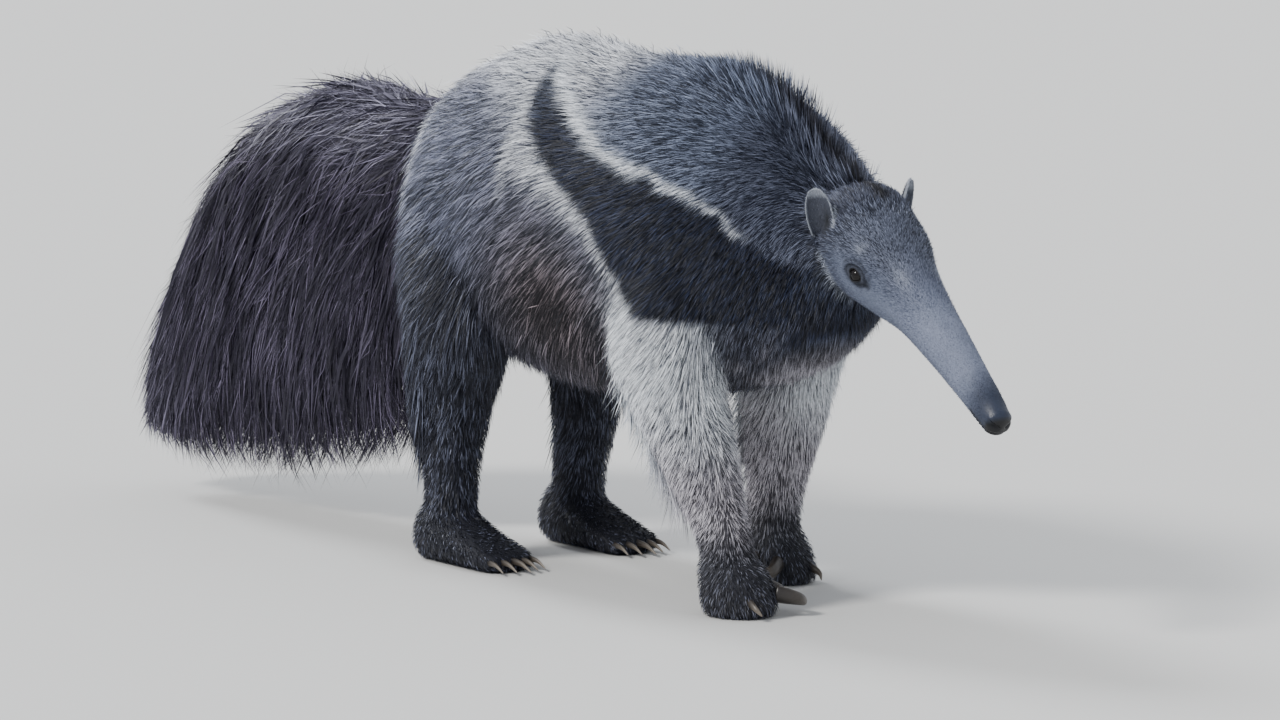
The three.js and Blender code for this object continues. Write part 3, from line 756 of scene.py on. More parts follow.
def build_skin():
    """The skin with its ears as one object, in body millimetres."""
    mesh = raw_skin()
    points = coordinates(mesh)
    belongs = shares(points)
    amount = 0.5 * (1 - 0.75 * belongs["head"] - 0.6 * belongs["hindfoot"] - 0.5 * belongs["forefoot"])
    along = head_coords(points)[:, 0]
    amount = amount * (1 - smooth(HEAD_LENGTH - 60, HEAD_LENGTH - 20, along) * 0.9)
    edges = read(mesh.edges, "vertices", 2, np.int32)
    set_coordinates(mesh, relax(points, edges, RELAX_ROUNDS, amount))
    refine(mesh, wants_detail, len(DETAIL))
    points = coordinates(mesh)
    on_head = near_head(points)
    points[on_head] = head_relief(points[on_head])
    points[:, 2] = np.maximum(points[:, 2], LOWEST["skin"])
    set_coordinates(mesh, points)
    bm = bmesh.new()
    bm.from_mesh(mesh)
    for side in SIDES:
        ear = mesh_object("ear", *closed(ear_rings(side)))
        bm.from_mesh(ear.data)
        bpy.data.objects.remove(ear)
    bm.to_mesh(mesh)
    bm.free()
    return add_object("skin", mesh)


# Markings, some of them painted light and shade. A tone is the colour of the dark hairs, of the light ones,
# and the share of light ones.
# Each mark is laid at places x, y and z in body millimetres, or along, side and up on the head.

HAIRS = {
    "slate": ((45, 51, 66), (140, 151, 177), 0.42),
    "neck": ((45, 49, 64), (119, 126, 148), 0.42),
    "black": ((15, 18, 30), (46, 55, 82), 0.3),
    "stripe": ((84, 93, 110), (244, 248, 253), 0.86),
    "silver": ((62, 67, 84), (246, 249, 254), 0.69),
    "rump": ((40, 44, 59), (146, 152, 178), 0.34),
    "brown": ((22, 18, 24), (152, 138, 143), 0.18),
    "low": ((26, 28, 40), (104, 109, 130), 0.24),
    "foreleg": ((84, 89, 100), (244, 248, 253), 0.78),
    "forearm": ((74, 72, 80), (206, 202, 210), 0.66),
    "wrist": ((26, 26, 33), (83, 85, 99), 0.3),
    "crown": ((32, 37, 51), (159, 168, 194), 0.36),
    "snout": ((72, 79, 102), (155, 163, 184), 0.52),
    "cheek": ((68, 74, 94), (132, 142, 163), 0.5),
    # Painted shade for the eyes' creases and the ring round the lids.
    "crease": ((27, 31, 41), (60, 65, 81), 0.3),
    "nose": ((33, 41, 57), (49, 57, 79), 0.4),
    "lip": ((9, 9, 13), (18, 21, 27), 0.3),
    "ear": ((69, 74, 88), (114, 119, 138), 0.45),
    "ear_rim": ((150, 157, 168), (213, 219, 235), 0.7),
    # Painted shade for the ears' cups and the fold down the cheek.
    "ear_cup": ((18, 21, 27), (53, 57, 70), 0.3),
    "tail": ((32, 29, 44), (120, 112, 137), 0.2),
    # Lighter hairs for the tail: painted glints along its top, and a paler edge at its hanging end.
    "tail_edge": ((49, 46, 62), (185, 184, 208), 0.36),
    "crest": ((16, 16, 22), (64, 63, 73), 0.2),
}
TONES = {
    name: np.concatenate([linear(dark), linear(light), [share]])
    for name, (dark, light, share) in HAIRS.items()
}

# The dark band from throat to back, seen from the side: (x, z) along its upper and its lower edge
BAND_UPPER = np.array([
    (-116, 586), (-102, 573), (-60, 544), (-9, 520), (59, 492), (131, 479),
    (196, 461), (242, 443), (284, 418), (310, 404), (335, 398), (400, 394),
], float)
BAND_LOWER = np.array([
    (-118, 574), (-101, 520), (-58, 479), (13, 445), (56, 414), (85, 378), (113, 349), (150, 322), (260, 318),
], float)
THROAT = np.array([(150, 250), (204, 262), (247, 277), (288, 294), (332, 306), (360, 318)], float)


def line_gap(x, z, line):
    """How far a point is above a line, square to it."""
    height = np.interp(x, line[:, 0], line[:, 1])
    slope = (np.interp(x + 6, line[:, 0], line[:, 1]) - np.interp(x - 6, line[:, 0], line[:, 1])) / 12
    return (z - height) / np.sqrt(1 + slope**2)


def mark_back(lay, p, patchy):
    """Grey neck and back, a silver loin with painted sheen on its top, a painted rim light before the tail,
    and the brown flank.
    """
    x, _, z = p.T
    lay("slate", smooth(-70, 40, x))
    lay("neck", smooth(190, 260, x))
    # Silver hair on the top of the loin, with painted sheen where the light from above falls on it.
    lay("silver", smooth(505, 580, z + 70 * patchy) * smooth(60, -60, x) * 0.95)
    # A pale band round the root of the tail, silver with a narrow white line in it: painted rim light from
    # behind.
    lay("silver", 0.6 * bell(x + 350, 26) + 0.4 * smooth(-360, -390, x))
    lay("stripe", 0.55 * bell(x + 349, 12) * smooth(260, 330, z))
    lay("low", smooth(395, 290, z + 50 * patchy) * smooth(120, 60, x))
    lay("brown", bell(x + 20, 112) * bell(z - 320, 102) * 0.98)


def mark_band(lay, p, on_trunk, wobble):
    """The dark band, its light edge below and white stripe above; gives how far points are above its floor."""
    x, y, z = p.T
    above_lower = line_gap(x, z, BAND_LOWER) + wobble
    above_upper = line_gap(x, z, BAND_UPPER) + wobble
    above_throat = line_gap(x, z, THROAT)
    behind = np.maximum(-above_lower, 0)
    reach = mix(13, 70, smooth(385, 520, z))
    edge = bell(behind, reach) * smooth(-190, -120, x) * smooth(175, 120, x) * (above_lower < 2)
    lay("silver", edge * smooth(560, 480, z - 60) * 0.95)
    under = smooth(68, 50, np.abs(y)) * smooth(120, 170, x)
    floor_gap = mix(above_lower, above_throat + wobble * 0.4, under)
    in_band = smooth(-3, 4, floor_gap) * smooth(5, -3, above_upper + 7) * smooth(-118, -108, x)
    lay("black", in_band)
    faint = bell(above_throat - 22, 6) * smooth(240, 275, x) * smooth(365, 345, x)
    lay("low", faint * in_band * 0.6)
    lay("slate", 0.45 * smooth(-60, -110, x) * in_band)
    halo = bell(np.maximum(above_upper - 6, 0), 20) * (above_upper > -4)
    halo = halo * smooth(90, -60, x) * smooth(-125, -100, x)
    lay("silver", 0.5 * halo)
    wide = mix(7.0, 4.6, smooth(60, 220, x)) * (1 + 0.45 * noise(p, 34, 9))
    stripe = bell(above_upper + 1.5, wide) * smooth(-125, -100, x) * smooth(285, 262, x)
    lay("stripe", stripe * mix(1.0, 0.75, smooth(150, 280, x)))
    below = smooth(2, -5, floor_gap) * on_trunk * smooth(120, 160, x)
    lay("low", below)
    # Darker between the forelegs: the underside's own dark hair with painted shade under the chest; paler at
    # its front.
    chest_underside = smooth(75, 45, np.abs(y) + 12 * noise(p, 30, 10)) * below
    lay("wrist", 0.5 * chest_underside)
    lay("forearm", 0.62 * chest_underside * smooth(180, 225, x) * smooth(0, -22, floor_gap))
    lay("crest", 0.95 * bell(y, 9.5) * smooth(110, 210, x) * smooth(440, 480, z))
    return floor_gap


def mark_limbs(lay, p, belongs, floor_gap, patchy):
    """Whitish forelegs with dark wrists, dark hind legs and feet, and the tail."""
    x, y, z = p.T
    pale = belongs["foreleg"] * smooth(3, -5, floor_gap)
    lay("foreleg", pale)
    lay("forearm", pale * smooth(230, 130, z + 60 * patchy))
    lay("wrist", pale * smooth(100, 60, z))
    lay("forearm", 0.6 * (belongs["foreleg"] * smooth(14, 50, FORE_Y - np.abs(y)) * smooth(3, -5, floor_gap)))
    lay("low", belongs["hindleg"] * smooth(400, 340, z))
    lay("wrist", belongs["forefoot"] * 0.85)
    lay("low", belongs["hindfoot"])
    lay("tail", belongs["tail"])
    # More light hairs on the tail's top as painted glints of the light, and a paler edge at its hanging end.
    lay("tail_edge", belongs["tail"] * (0.75 * smooth(410, 470, z) + 0.3 * smooth(-780, -900, x)))


def mark_eyes(lay, p, on_head):
    """Dark lids with painted shade in and round their creases, in a plainer ring."""
    for mirror in SIDES.values():
        size, round_eye, near = eye_view(p, mirror)
        near = near * on_head
        lay("cheek", near * smooth(3.4, 2.6, size) * 0.8)
        under = bell(size - 2.0, 1.1) * bell(round_eye + 0.9, 0.75)
        # Painted shade round the lids and under their front, and in their creases.
        lay("crease", near * (0.8 * smooth(3.1, 1.5, size) + 0.3 * under))
        lay("crease", near * lid_folds(size, round_eye)[1] * (size < LIDS_END))
        lay("lip", near * smooth(1.34, 1.1, size))


def mark_face(lay, p, in_head, wobble):
    """Speckled crown, paler snout, eyes, light brow and cheekbone, dark nose and mouth."""
    along, _, up = head_coords(p).T
    on_head = in_head * smooth(4, 20, along)
    lay("cheek", on_head)
    crown = smooth(-10, 16, up + 12 * noise(p, 26, 6) - 0.08 * along) * smooth(190, 120, along)
    lay("crown", on_head * crown)
    lay("snout", on_head * smooth(80, 160, along) * (1 - 0.5 * smooth(0.0, -18, up)))
    mark_eyes(lay, p, on_head)
    brow = bell(np.hypot(along - EYE["along"] + 10, up - EYE["up"] - 30), 7)
    cheekbone = bell(along - 113, 15) * bell(up - 29 + 0.2 * (along - 113), 5)
    lay("ear_rim", on_head * (0.5 * brow + 0.42 * cheekbone) * (0.7 + 0.6 * noise(p, 6, 53)))
    # The ear's fold runs on down the cheek only in paint: a pale rim line, and beside it a dark line of
    # painted shade.
    from_rim = along - 15 + 0.77 * (up + 31)
    rim = bell(from_rim, 3.2) * smooth(-14, -26, up) * smooth(-72, -58, up)
    ear_fold_shade = bell(from_rim + 6.5, 2.8) * smooth(-20, -30, up) * smooth(-60, -48, up)
    lay("ear_rim", smooth(0.15, 0.5, in_head) * 0.7 * rim)
    lay("ear_cup", smooth(0.1, 0.4, in_head) * 0.8 * ear_fold_shade)
    mottle = 0.5 + 0.5 * noise(p, 5, 7) + 0.35 * noise(p, 14, 8)
    lay("cheek", on_head * smooth(80, 160, along) * 0.55 * np.clip(mottle, 0, 1))
    lay("nose", smooth(HEAD_LENGTH - 78, HEAD_LENGTH - 20, along + wobble + 0.4 * up) * on_head)
    corner = HEAD_LENGTH - MOUTH["length"]
    lay("lip", on_head * (bell(up - slit_height(along), 2.6) * smooth(corner - 4, corner + 6, along)))
    lay("lip", on_head * smooth(HEAD_LENGTH - 16, HEAD_LENGTH - 7, along - 0.35 * np.maximum(up, 0) * 2.0))


def mark_ears(lay, p):
    """Grey ears with painted shade in the cup and a light rim."""
    on_ear, high, wide, inside = ear_view(p)
    lay("ear", on_ear)
    lay("low", 0.85 * on_ear * (1 - inside))
    deep = bell(wide - 0.42, 0.24) + 0.3 * bell(wide, 0.6)
    # Painted shade inside the cup, deepest to one side of its middle.
    lay("ear_cup", on_ear * inside * deep * bell(high - 0.5, 0.17))
    lay("ear_rim", on_ear * smooth(0.86, 0.97, np.maximum(np.abs(wide), high * 1.02)))


def markings(p, belongs):
    """One tone a point, as rows of seven numbers. Each mark is laid over those before it."""
    tones = np.repeat(TONES["rump"][None], len(p), 0)

    def lay(name, weight):
        tones[:] = mix(tones, TONES[name], col(np.clip(weight, 0, 1)))

    wobble = 4.0 * noise(p, 22, 1) + 2.5 * noise(p, 9, 2)
    patchy = 0.25 * noise(p, 60, 3)
    mark_back(lay, p, patchy)
    floor_gap = mark_band(lay, p, belongs["trunk"], wobble)
    mark_limbs(lay, p, belongs, floor_gap, patchy)
    mark_face(lay, p, belongs["head"], wobble)
    mark_ears(lay, p)
    return tones


def tone_colours(tones, light):
    """The tone's dark or light colour, as light is 0 or 1 or between."""
    return mix(tones[:, :3], tones[:, 3:6], col(light))


# Coat

PATCH = 0.003  # how wide a tuft's patch is on the unwrap
SHORT_RINGS, CREST_RINGS, LONG_RINGS = 2, 3, 4  # how many rings a strand has before its tip
CLUMP = 9.0  # how wide the clumps of short tufts are
ROOT_SINK = 1.2  # how far inside the skin the short tufts start
LONG_HAIRS = {"tail": 20500, "tail_under": 3000, "elbow": 1500, "thigh": 1300, "belly": 1500, "crest": 9000}


def lie(p, belongs):
    """The way that the hair points, before it is laid on the skin."""
    x, y, z = p.T
    height = np.clip((z - 230) / 350, 0, 1)
    neck = smooth(130, 290, x)
    down = mix(1.0, 0.14, height**1.1) + 0.6 * neck * (1 - 0.5 * height)
    slant = smooth(150, 330, z)
    hind_x = np.mean(list(FOOT_X["hind"].values()))
    way = {
        "trunk": joined(-mix(0.3, 1.0, height), 0, -down * smooth(0, 40, np.abs(y))),
        "head": -snout + joined(0, 0, -0.25 * smooth(80, 0, x - NAPE_X)),
        "foreleg": joined(-0.15 - 0.65 * slant, 0, -1),
        "hindleg": joined(-0.1 - 0.35 * slant, 0, -1),
        "forefoot": joined(0.1, 0, -0.9),
        "hindfoot": joined(smooth(-40, 25, x - hind_x), 0, -0.7),
        "tail": joined(-0.8, 0, -0.9),
    }
    total = sum(unit(way[kind]) * col(belongs[kind]) for kind in KINDS)
    upward = np.where(y[:, None] < 0, ear_axes("right")[1], ear_axes("left")[1])
    return mix(total, upward, col(ear_view(p)[0]))


def coat_sizes(p, belongs):
    """Length, width and height of the tufts at each point."""
    x, _, z = p.T
    along, _, up = head_coords(p).T
    back = mix(38, 20, smooth(-60, 240, x)) + 20 * smooth(370, 270, z) * smooth(90, 20, x)
    back = back + 8 * smooth(-250, -360, x)
    crown = smooth(-12, 18, up) * smooth(190, 120, along)
    neck_join = smooth(46, 4, along)
    lids = mix(0.4, 1, smooth(1.1, 2.6, nearest_eye(p)))
    leg_height = mix(6, 11, smooth(90, 300, z))
    sizes = {
        "trunk": (back, mix(0.85, 0.66, smooth(110, 250, x)), mix(15, 13, smooth(0, 250, x))),
        "head": (
            mix(mix(2.8, 5.2, crown), 12.0, neck_join) * lids,
            mix(mix(0.42, 0.5, crown), 0.8, neck_join),
            mix(mix(0.9, 3.0, crown), 4.0, neck_join),
        ),
        "foreleg": (mix(13, 29, smooth(90, 300, z)), 0.8, leg_height),
        "hindleg": (mix(15, 38, smooth(90, 320, z)), 0.95, leg_height),
        "forefoot": (9, 0.95, 3.2),
        "hindfoot": (8, 0.95, 2.8),
        "tail": (60, 2.4, 14),
    }
    on_ear = ear_view(p)[0]
    return [
        mix(sum(sizes[kind][i] * belongs[kind] for kind in KINDS), small, on_ear)
        for i, small in enumerate((3.2, 0.4, 0.7))
    ]


def interleave(left, right, tip):
    """Rows of each strip: its left and right side by turns, and its tip."""
    rows = np.empty((len(left), 2 * left.shape[1] + 1, left.shape[2]))
    rows[:, 0:-1:2], rows[:, 1:-1:2], rows[:, -1] = left, right, tip
    return rows


def strands(name, path, across, half, colour, spots, slot):
    """One piece of n thin tapered strips. path and colour are (n, rings + 1, 3), the last of them the tip;
    across is (n, rings, 3), half (n, rings), and spots (n, 2) is each strip's place on the unwrap."""
    n, rings = half.shape
    size = 2 * rings + 1
    side_way = across * half[..., None]
    points = interleave(path[:, :rings] - side_way, path[:, :rings] + side_way, path[:, rings])
    points[..., 2] = np.maximum(points[..., 2], LOWEST["tuft"])
    shade = interleave(colour[:, :rings], colour[:, :rings], colour[:, rings])
    ring = np.arange(rings)
    patch = interleave(joined(ring / rings, 0)[None], joined(ring / rings, 1)[None], (1.0, 0.5))
    uv = spots[:, None] + (patch - 0.5) * PATCH

    quads = (2 * ring[:-1, None] + [0, 1, 3, 2]).ravel()
    corners = np.concatenate([quads, [size - 3, size - 2, size - 1]])
    offsets = np.arange(n)[:, None]
    mesh = bpy.data.meshes.new(name)
    mesh.vertices.add(n * size)
    mesh.vertices.foreach_set("co", place(points.reshape(-1, 3)).astype(np.float32).ravel())
    mesh.loops.add(n * len(corners))
    mesh.loops.foreach_set("vertex_index", (corners + offsets * size).ravel().astype(np.int32))
    mesh.polygons.add(n * rings)
    mesh.polygons.foreach_set("loop_start", (ring * 4 + offsets * len(corners)).ravel().astype(np.int32))
    mesh.update(calc_edges=True)
    layer = mesh.uv_layers.new(name="OFBake")
    layer.data.foreach_set("uv", uv[:, corners].astype(np.float32).ravel())
    dress(add_object(name, mesh), shade.reshape(-1, 3), coat_material(), slot)


def unwrap_spots(p, forms):
    """The place of each point on an unwrap of the skin: along the form and round it."""
    spots = np.zeros((len(p), 2))
    best = np.full(len(p), np.inf)
    for i, form in enumerate(forms):
        u, angle, gap = form.locate(p)
        t = (u - form.rows[0, 0]) / (form.rows[-1, 0] - form.rows[0, 0])
        v = (angle / (2 * math.pi)) % 1
        spot = joined((i + 0.03 + 0.94 * np.clip(t, 0, 1)) / len(forms), 0.02 + 0.96 * v)
        closer = gap < best
        spots[closer] = spot[closer]
        best = np.minimum(best, gap)
    return spots


def sample(density):
    """Random points on the skin, evenly spread, with density(p) of them a square centimetre."""
    points = skin_points[skin_corners]
    cross = np.cross(points[:, 1] - points[:, 0], points[:, 2] - points[:, 0])
    area = np.linalg.norm(cross, axis=1) / 2
    wanted = density(points.mean(1)) * area / 100
    count = np.floor(wanted + rng.random(len(wanted))).astype(int)
    which = np.repeat(np.arange(len(area)), count)
    a, b = rng.random((2, len(which)))
    flip = a + b > 1
    a, b = np.where(flip, 1 - a, a), np.where(flip, 1 - b, b)
    weights = np.stack([1 - a - b, a, b], 1)[..., None]
    return (points[which] * weights).sum(1), unit((skin_normals[skin_corners[which]] * weights).sum(1))


def gather(roots, values, cell):
    """The mean of values over each clump of neighbouring roots, given back to every root."""
    jitter = cell * 0.5 * np.stack([noise(roots, cell * 1.7, 11 + k) for k in range(3)], 1)
    key = np.floor((roots + jitter) / cell).astype(np.int64)
    _, index, count = np.unique(key @ PRIMES, return_inverse=True, return_counts=True)
    return np.stack([(np.bincount(index, column) / count)[index] for column in values.T], 1)


def paint(path, belongs, under=False, ticked=0.35, root=0.55, follow=0.6):
    """The colours along each tuft: its place on the coat gives the tone, and chance its light or dark.
    The light starts at the share ticked of the hair, root is how bright the hair's root is, and follow is how
    far the tone changes along the hair."""
    n, rings = path.shape[:2]
    middle = path[:, rings // 2] if follow > 0.3 else path[:, 0]
    streak = 0.16 * noise(middle, 9, 31) + 0.12 * noise(middle, 34, 32)
    chance = rng.random(n)
    tint = 1 + 0.12 * rng.standard_normal(n)
    colours = np.empty((n, rings, 3))
    for r, t in enumerate(np.arange(rings) / (rings - 1)):
        tones = markings(mix(middle, path[:, r], follow), belongs)
        light = np.clip((tones[:, 6] + streak - chance) / 0.12 + 0.5, 0, 1)
        light = light * (0.25 if under else 1.0) * smooth(ticked - 0.2, ticked + 0.3, t)
        colours[:, r] = tone_colours(tones, light) * col(tint) * mix(root, 1.08, smooth(0.0, 0.5, t))
    return colours


def ribbon_across(path, normals, spread=0.5):
    """The way across each strand: flat on the coat, and rolled a little by chance."""
    tangent = unit(path[:, 1:] - path[:, :-1])
    roll = spread * rng.standard_normal(len(path))[:, None, None]
    flat = unit(np.cross(normals, tangent))
    return unit(flat * np.cos(roll) + np.cross(tangent, flat) * np.sin(roll))


def ribbon_half(width, rings, spread=0.25):
    """Half the width along each strand, thickest near its root."""
    profile = np.interp(np.arange(rings) / rings, [0, 0.3, 0.66, 1], [0.65, 1.0, 0.72, 0.2])
    chance = (1 + spread * rng.standard_normal(len(width))).clip(0.5, 1.7)
    return 0.5 * (width * chance)[:, None] * profile


def coat(name, density, forms, slot, wide=1.0, clump=0.22, under=False, **shades):
    """The tufts of one region of the skin, lying along it and lifting towards their tips."""
    roots, normals = sample(density)
    belongs = shares(roots)
    length, width, height = coat_sizes(roots, belongs)
    n = len(roots)
    way = lie(roots, belongs)
    curly = 1 + smooth(40, -120, roots[:, 0])
    swirl = (0.22 * noise(roots, 55, 21) + 0.14 * noise(roots, 18, 22) + 0.12 * rng.standard_normal(n)) * curly
    way = unit(way - normals * col(dot(way, normals)))
    way = unit(way + np.cross(normals, way) * col(swirl))
    length = length * (1 + 0.16 * rng.standard_normal(n)).clip(0.5, 1.5) * (1 + 0.15 * noise(roots, 40, 23))
    loose = (rng.random(n) < 0.1) * rng.random(n)
    height = height * (1 + 0.2 * rng.standard_normal(n)).clip(0.4, 1.7) * (1 + 0.7 * loose)
    if under:
        length, height = 0.8 * length, 0.6 * height
    steep = np.minimum(height / length, 0.8)
    t = np.append(np.arange(SHORT_RINGS) / SHORT_RINGS * 1.05, 1.0)
    curve = 1 - (1 - t) ** 1.8
    path = (
        roots[:, None]
        + way[:, None] * (length * np.sqrt(1 - steep**2))[:, None, None] * t[None, :, None]
        + normals[:, None] * (height[:, None] * curve - ROOT_SINK * (1 - t))[..., None]
    )
    sag = 0.10 * length[:, None] * t**2.2
    path[..., 2] -= sag * smooth(200, 330, roots[:, 2])[:, None]
    if clump:
        tips = path[:, -1]
        pull = gather(roots, tips - roots, CLUMP) + gather(roots, roots, CLUMP) - tips
        path = path + pull[:, None] * (clump * t**1.6)[None, :, None]
    across = ribbon_across(path, normals[:, None])
    half = ribbon_half(width * wide, SHORT_RINGS)
    colour = paint(path, belongs, under=under, **shades)
    strands(name, path, across, half, colour, unwrap_spots(roots, forms), slot)


# Long hair: strands that run from inside the coat to its outside, as the solids' locks do

ROOT_DEPTH = 9.0  # how far inside the core the long hair starts
TAIL_TOP = -0.35  # the place round the tail of its upper middle line; 0 is half way up and 1 the bottom
TAIL_TIPS = (-928, -385)  # where the tail's hairs end
TAIL_ROOTS_END, TAIL_END = -354, -936  # no hair starts before the one or reaches past the other
HALF_ROUND = 350  # about how far it is round half the tail


def lock_paths(core, outside, u, angle, lift, layer, out_by=1.0):
    """Points of strands whose u and angle are given for every step, and the normals. The last step is the tip,
    and the strands reach the outside at the share out_by of their length."""
    t = np.linspace(0, 1, u.shape[1])[None]
    inner = core.point(np.maximum(u, core.rows[0, 0] + 6), angle, -ROOT_DEPTH * (1 - t))
    outer = outside.point(u, angle, col(lift) * t**2 - col(layer) * (1 - t**2))
    share = np.sin(math.pi / 2 * np.minimum(t / out_by, 1)) ** 0.8
    return mix(inner, outer, share[..., None]), outside.normal(u, angle)[:, :-1]


def turned(angle, mirror):
    """An angle round a form, for the side that it is on."""
    return angle if mirror > 0 else math.pi - angle


def only(kind, n):
    return {k: np.full(n, float(k == kind)) for k in KINDS}


def tail_angle(place_round):
    """The angle on the tail's form of a place round it, with places as evenly spaced as the hair."""
    above = np.minimum(place_round, 0) / TAIL_TOP * math.pi / 2
    return above - np.arcsin(np.clip(place_round, 0, 1)) - 0.35 * np.maximum(place_round - 1, 0)


def tail_hair(name, mirror, count, width, length, deepest, under=False):
    """The hair of one side of the tail: wisps over each other, straight back on top and hanging below."""
    tip_u = rng.uniform(*TAIL_TIPS, count)
    tip_v = rng.uniform(TAIL_TOP - 0.02, 1.03, count)
    patch = np.stack([tip_u, tip_v * HALF_ROUND, 0 * tip_u], 1)
    lean = np.interp(tip_v, [TAIL_TOP, -0.2, 0, 0.5, 1], [3, 26, 42, 60, 78])
    lean = np.radians(lean + 19 * noise(patch, 40, 41) + 12 * rng.standard_normal(count))
    length = length * rng.uniform(0.7, 1.3, count)
    _, middle, _, low, _, _ = tail.row_at(tip_u)
    t = np.linspace(0, 1, LONG_RINGS + 1)[None]
    run = 1 - t
    u = col(tip_u) + col(length * np.cos(lean)) * (0.75 * run + 0.25 * run**2)
    u = np.minimum(u + col(4.5 * rng.standard_normal(count)) * np.sin(t * 6), TAIL_ROOTS_END)
    fall = np.minimum(length * np.sin(lean) / np.maximum(middle - low, 60), 0.7)
    wave = 0.018 * rng.standard_normal(count)
    round_tail = np.maximum(col(tip_v) - col(fall) * run**0.9, TAIL_TOP - 0.08) + col(wave) * np.sin(t * 7)
    layer = deepest * rng.random(count) ** 1.3
    lift = 3 + 10 * rng.random(count) + 22 * rng.random(count) ** 6 + 9 * noise(patch, 26, 42)
    angle = turned(tail_angle(round_tail), mirror)
    path, normals = lock_paths(tail_core, tail, u, angle, lift, layer, 0.65)
    tips = path[:, -1]
    pull = gather(tips, tips, 17.0) - tips
    path = path + pull[:, None] * (0.4 * t**1.8)[..., None]
    path = path + (6.0, 5.0, 4.0) * rng.standard_normal((count, 1, 3)) * t[..., None] ** 1.6
    path[..., 0] = np.maximum(path[..., 0], TAIL_END)
    colour = paint(path, only("tail", count), under=under, ticked=0.45)
    half = ribbon_half(np.full(count, width), LONG_RINGS)
    spots = unwrap_spots(path[:, 0], [tail_core])
    strands(name, path, ribbon_across(path, normals, 0.7), half, colour, spots, "coat_dark")


# A fringe's roots go from one u to the other at an angle in degrees, and its tips drop and lift at another.
ELBOW_FRINGES = [
    {"from": 322, "to": 178, "angle": -66, "tip": -76, "drop": -104, "lift": 36},
    {"from": 308, "to": 190, "angle": -108, "tip": -100, "drop": -92, "lift": 30},
]
THIGH_FRINGES = [
    {"from": 322, "to": 160, "angle": -70, "tip": -80, "drop": -88, "lift": 14},
    {"from": 326, "to": 200, "angle": -24, "tip": -34, "drop": -84, "lift": 8},
]
BELLY_FRINGE = {"from": -150, "to": 60, "angle": -44, "tip": -66, "drop": -34, "lift": 20}
FRINGE_WIDTH = 1.5


def fringe_hair(form, mirror, spec, count):
    u0 = rng.uniform(*sorted((spec["from"], spec["to"])), count)
    a0 = np.radians(spec["angle"] + 13 * rng.standard_normal(count))
    a1 = a0 + np.radians(spec["tip"] - spec["angle"] + 7 * rng.standard_normal(count))
    drop = spec["drop"] * rng.uniform(0.5, 1.1, count)
    t = np.linspace(0, 1, LONG_RINGS + 1)[None]
    u = col(u0) + col(drop) * t
    angle = turned(col(a0) + col(a1 - a0) * t, mirror)
    lift = spec["lift"] * rng.uniform(0.1, 1.0, count)
    return lock_paths(form, form, u, angle, lift, rng.uniform(0, 12, count))


def fringes(name, rows, slot, forms):
    """One piece of long hanging hair. rows are (kind, form, mirror, spec, count)."""
    made = [fringe_hair(*row[1:]) for row in rows]
    path, normals = (np.concatenate(parts) for parts in zip(*made))
    kinds = np.repeat([row[0] for row in rows], [row[4] for row in rows])
    belongs = {k: (kinds == k).astype(float) for k in KINDS}
    colour = paint(path, belongs, follow=0.25)
    half = ribbon_half(np.full(len(path), FRINGE_WIDTH), LONG_RINGS)
    spots = unwrap_spots(path[:, 0], forms)
    strands(name, path, ribbon_across(path, normals), half, colour, spots, slot)


MANE, SPINE = (80, 356), (-372, 120)  # from where to where the crest's two kinds of hair grow
CREST_WIDTH = 1.1


def crest_hair(name, count):
    """The short dark mane that stands on the nape, and the low ridge of hair along the back behind it."""
    x = np.where(rng.random(count) < 0.5, rng.uniform(*MANE, count), rng.uniform(*SPINE, count))
    mane = smooth(60, 190, x)
    angle = math.pi / 2 + 0.17 * rng.standard_normal(count)
    root = trunk.point(x, angle, -DEPTH["trunk"])
    normals = trunk.normal(x, angle)
    tall = mix(17, 14 + (CREST_RISE + 8), mane) * rng.uniform(0.5, 1.2, count)
    lean = np.radians(mix(68, 22, mane) + 8 * rng.standard_normal(count))
    slope = unit(trunk.point(x + 1, angle) - trunk.point(x - 1, angle))
    up = unit(normals + joined(0, 0.12 * rng.standard_normal(count), 0))
    way = up * col(np.cos(lean)) - slope * col(np.sin(lean))
    t = np.linspace(0, 1, CREST_RINGS + 1)
    swept = slope[:, None] * (col(mix(2, 8, mane)) * t**2)[..., None]
    path = root[:, None] + way[:, None] * (col(tall) * t)[..., None] - swept
    colour = paint(path, only("trunk", count))
    half = ribbon_half(np.full(count, CREST_WIDTH), CREST_RINGS)
    across = ribbon_across(path, np.array([0.0, 1.0, 0.0]), 0.9)
    strands(name, path, across, half, colour, unwrap_spots(root, [trunk]), "coat_dark")


# Materials

def node(tree, kind, **values):
    """A new node with its sockets and settings, each by its own name."""
    made = tree.nodes.new(kind)
    for key, value in values.items():
        if key in made.inputs:
            made.inputs[key].default_value = value
        else:
            setattr(made, key, value)
    return made


def principled(name, roughness, specular):
    made = bpy.data.materials.new(name)
    made.use_nodes = True
    tree = made.node_tree
    shader = tree.nodes["Principled BSDF"]
    shader.inputs["Roughness"].default_value = roughness
    shader.inputs["Specular IOR Level"].default_value = specular
    return made, tree, shader


def noise_at(tree, scale, detail=2.0, stretch=None):
    source = node(tree, "ShaderNodeTexCoord").outputs["Object"]
    if stretch:
        mapping = node(tree, "ShaderNodeMapping", Scale=stretch)
        tree.links.new(source, mapping.inputs["Vector"])
        source = mapping.outputs["Vector"]
    made = node(tree, "ShaderNodeTexNoise", Scale=scale, Detail=detail)
    tree.links.new(source, made.inputs["Vector"])
    return made.outputs["Fac"]


def bump(tree, shader, height, strength, distance):
    made = node(tree, "ShaderNodeBump", Strength=strength, Distance=distance)
    tree.links.new(height, made.inputs["Height"])
    tree.links.new(made.outputs["Normal"], shader.inputs["Normal"])


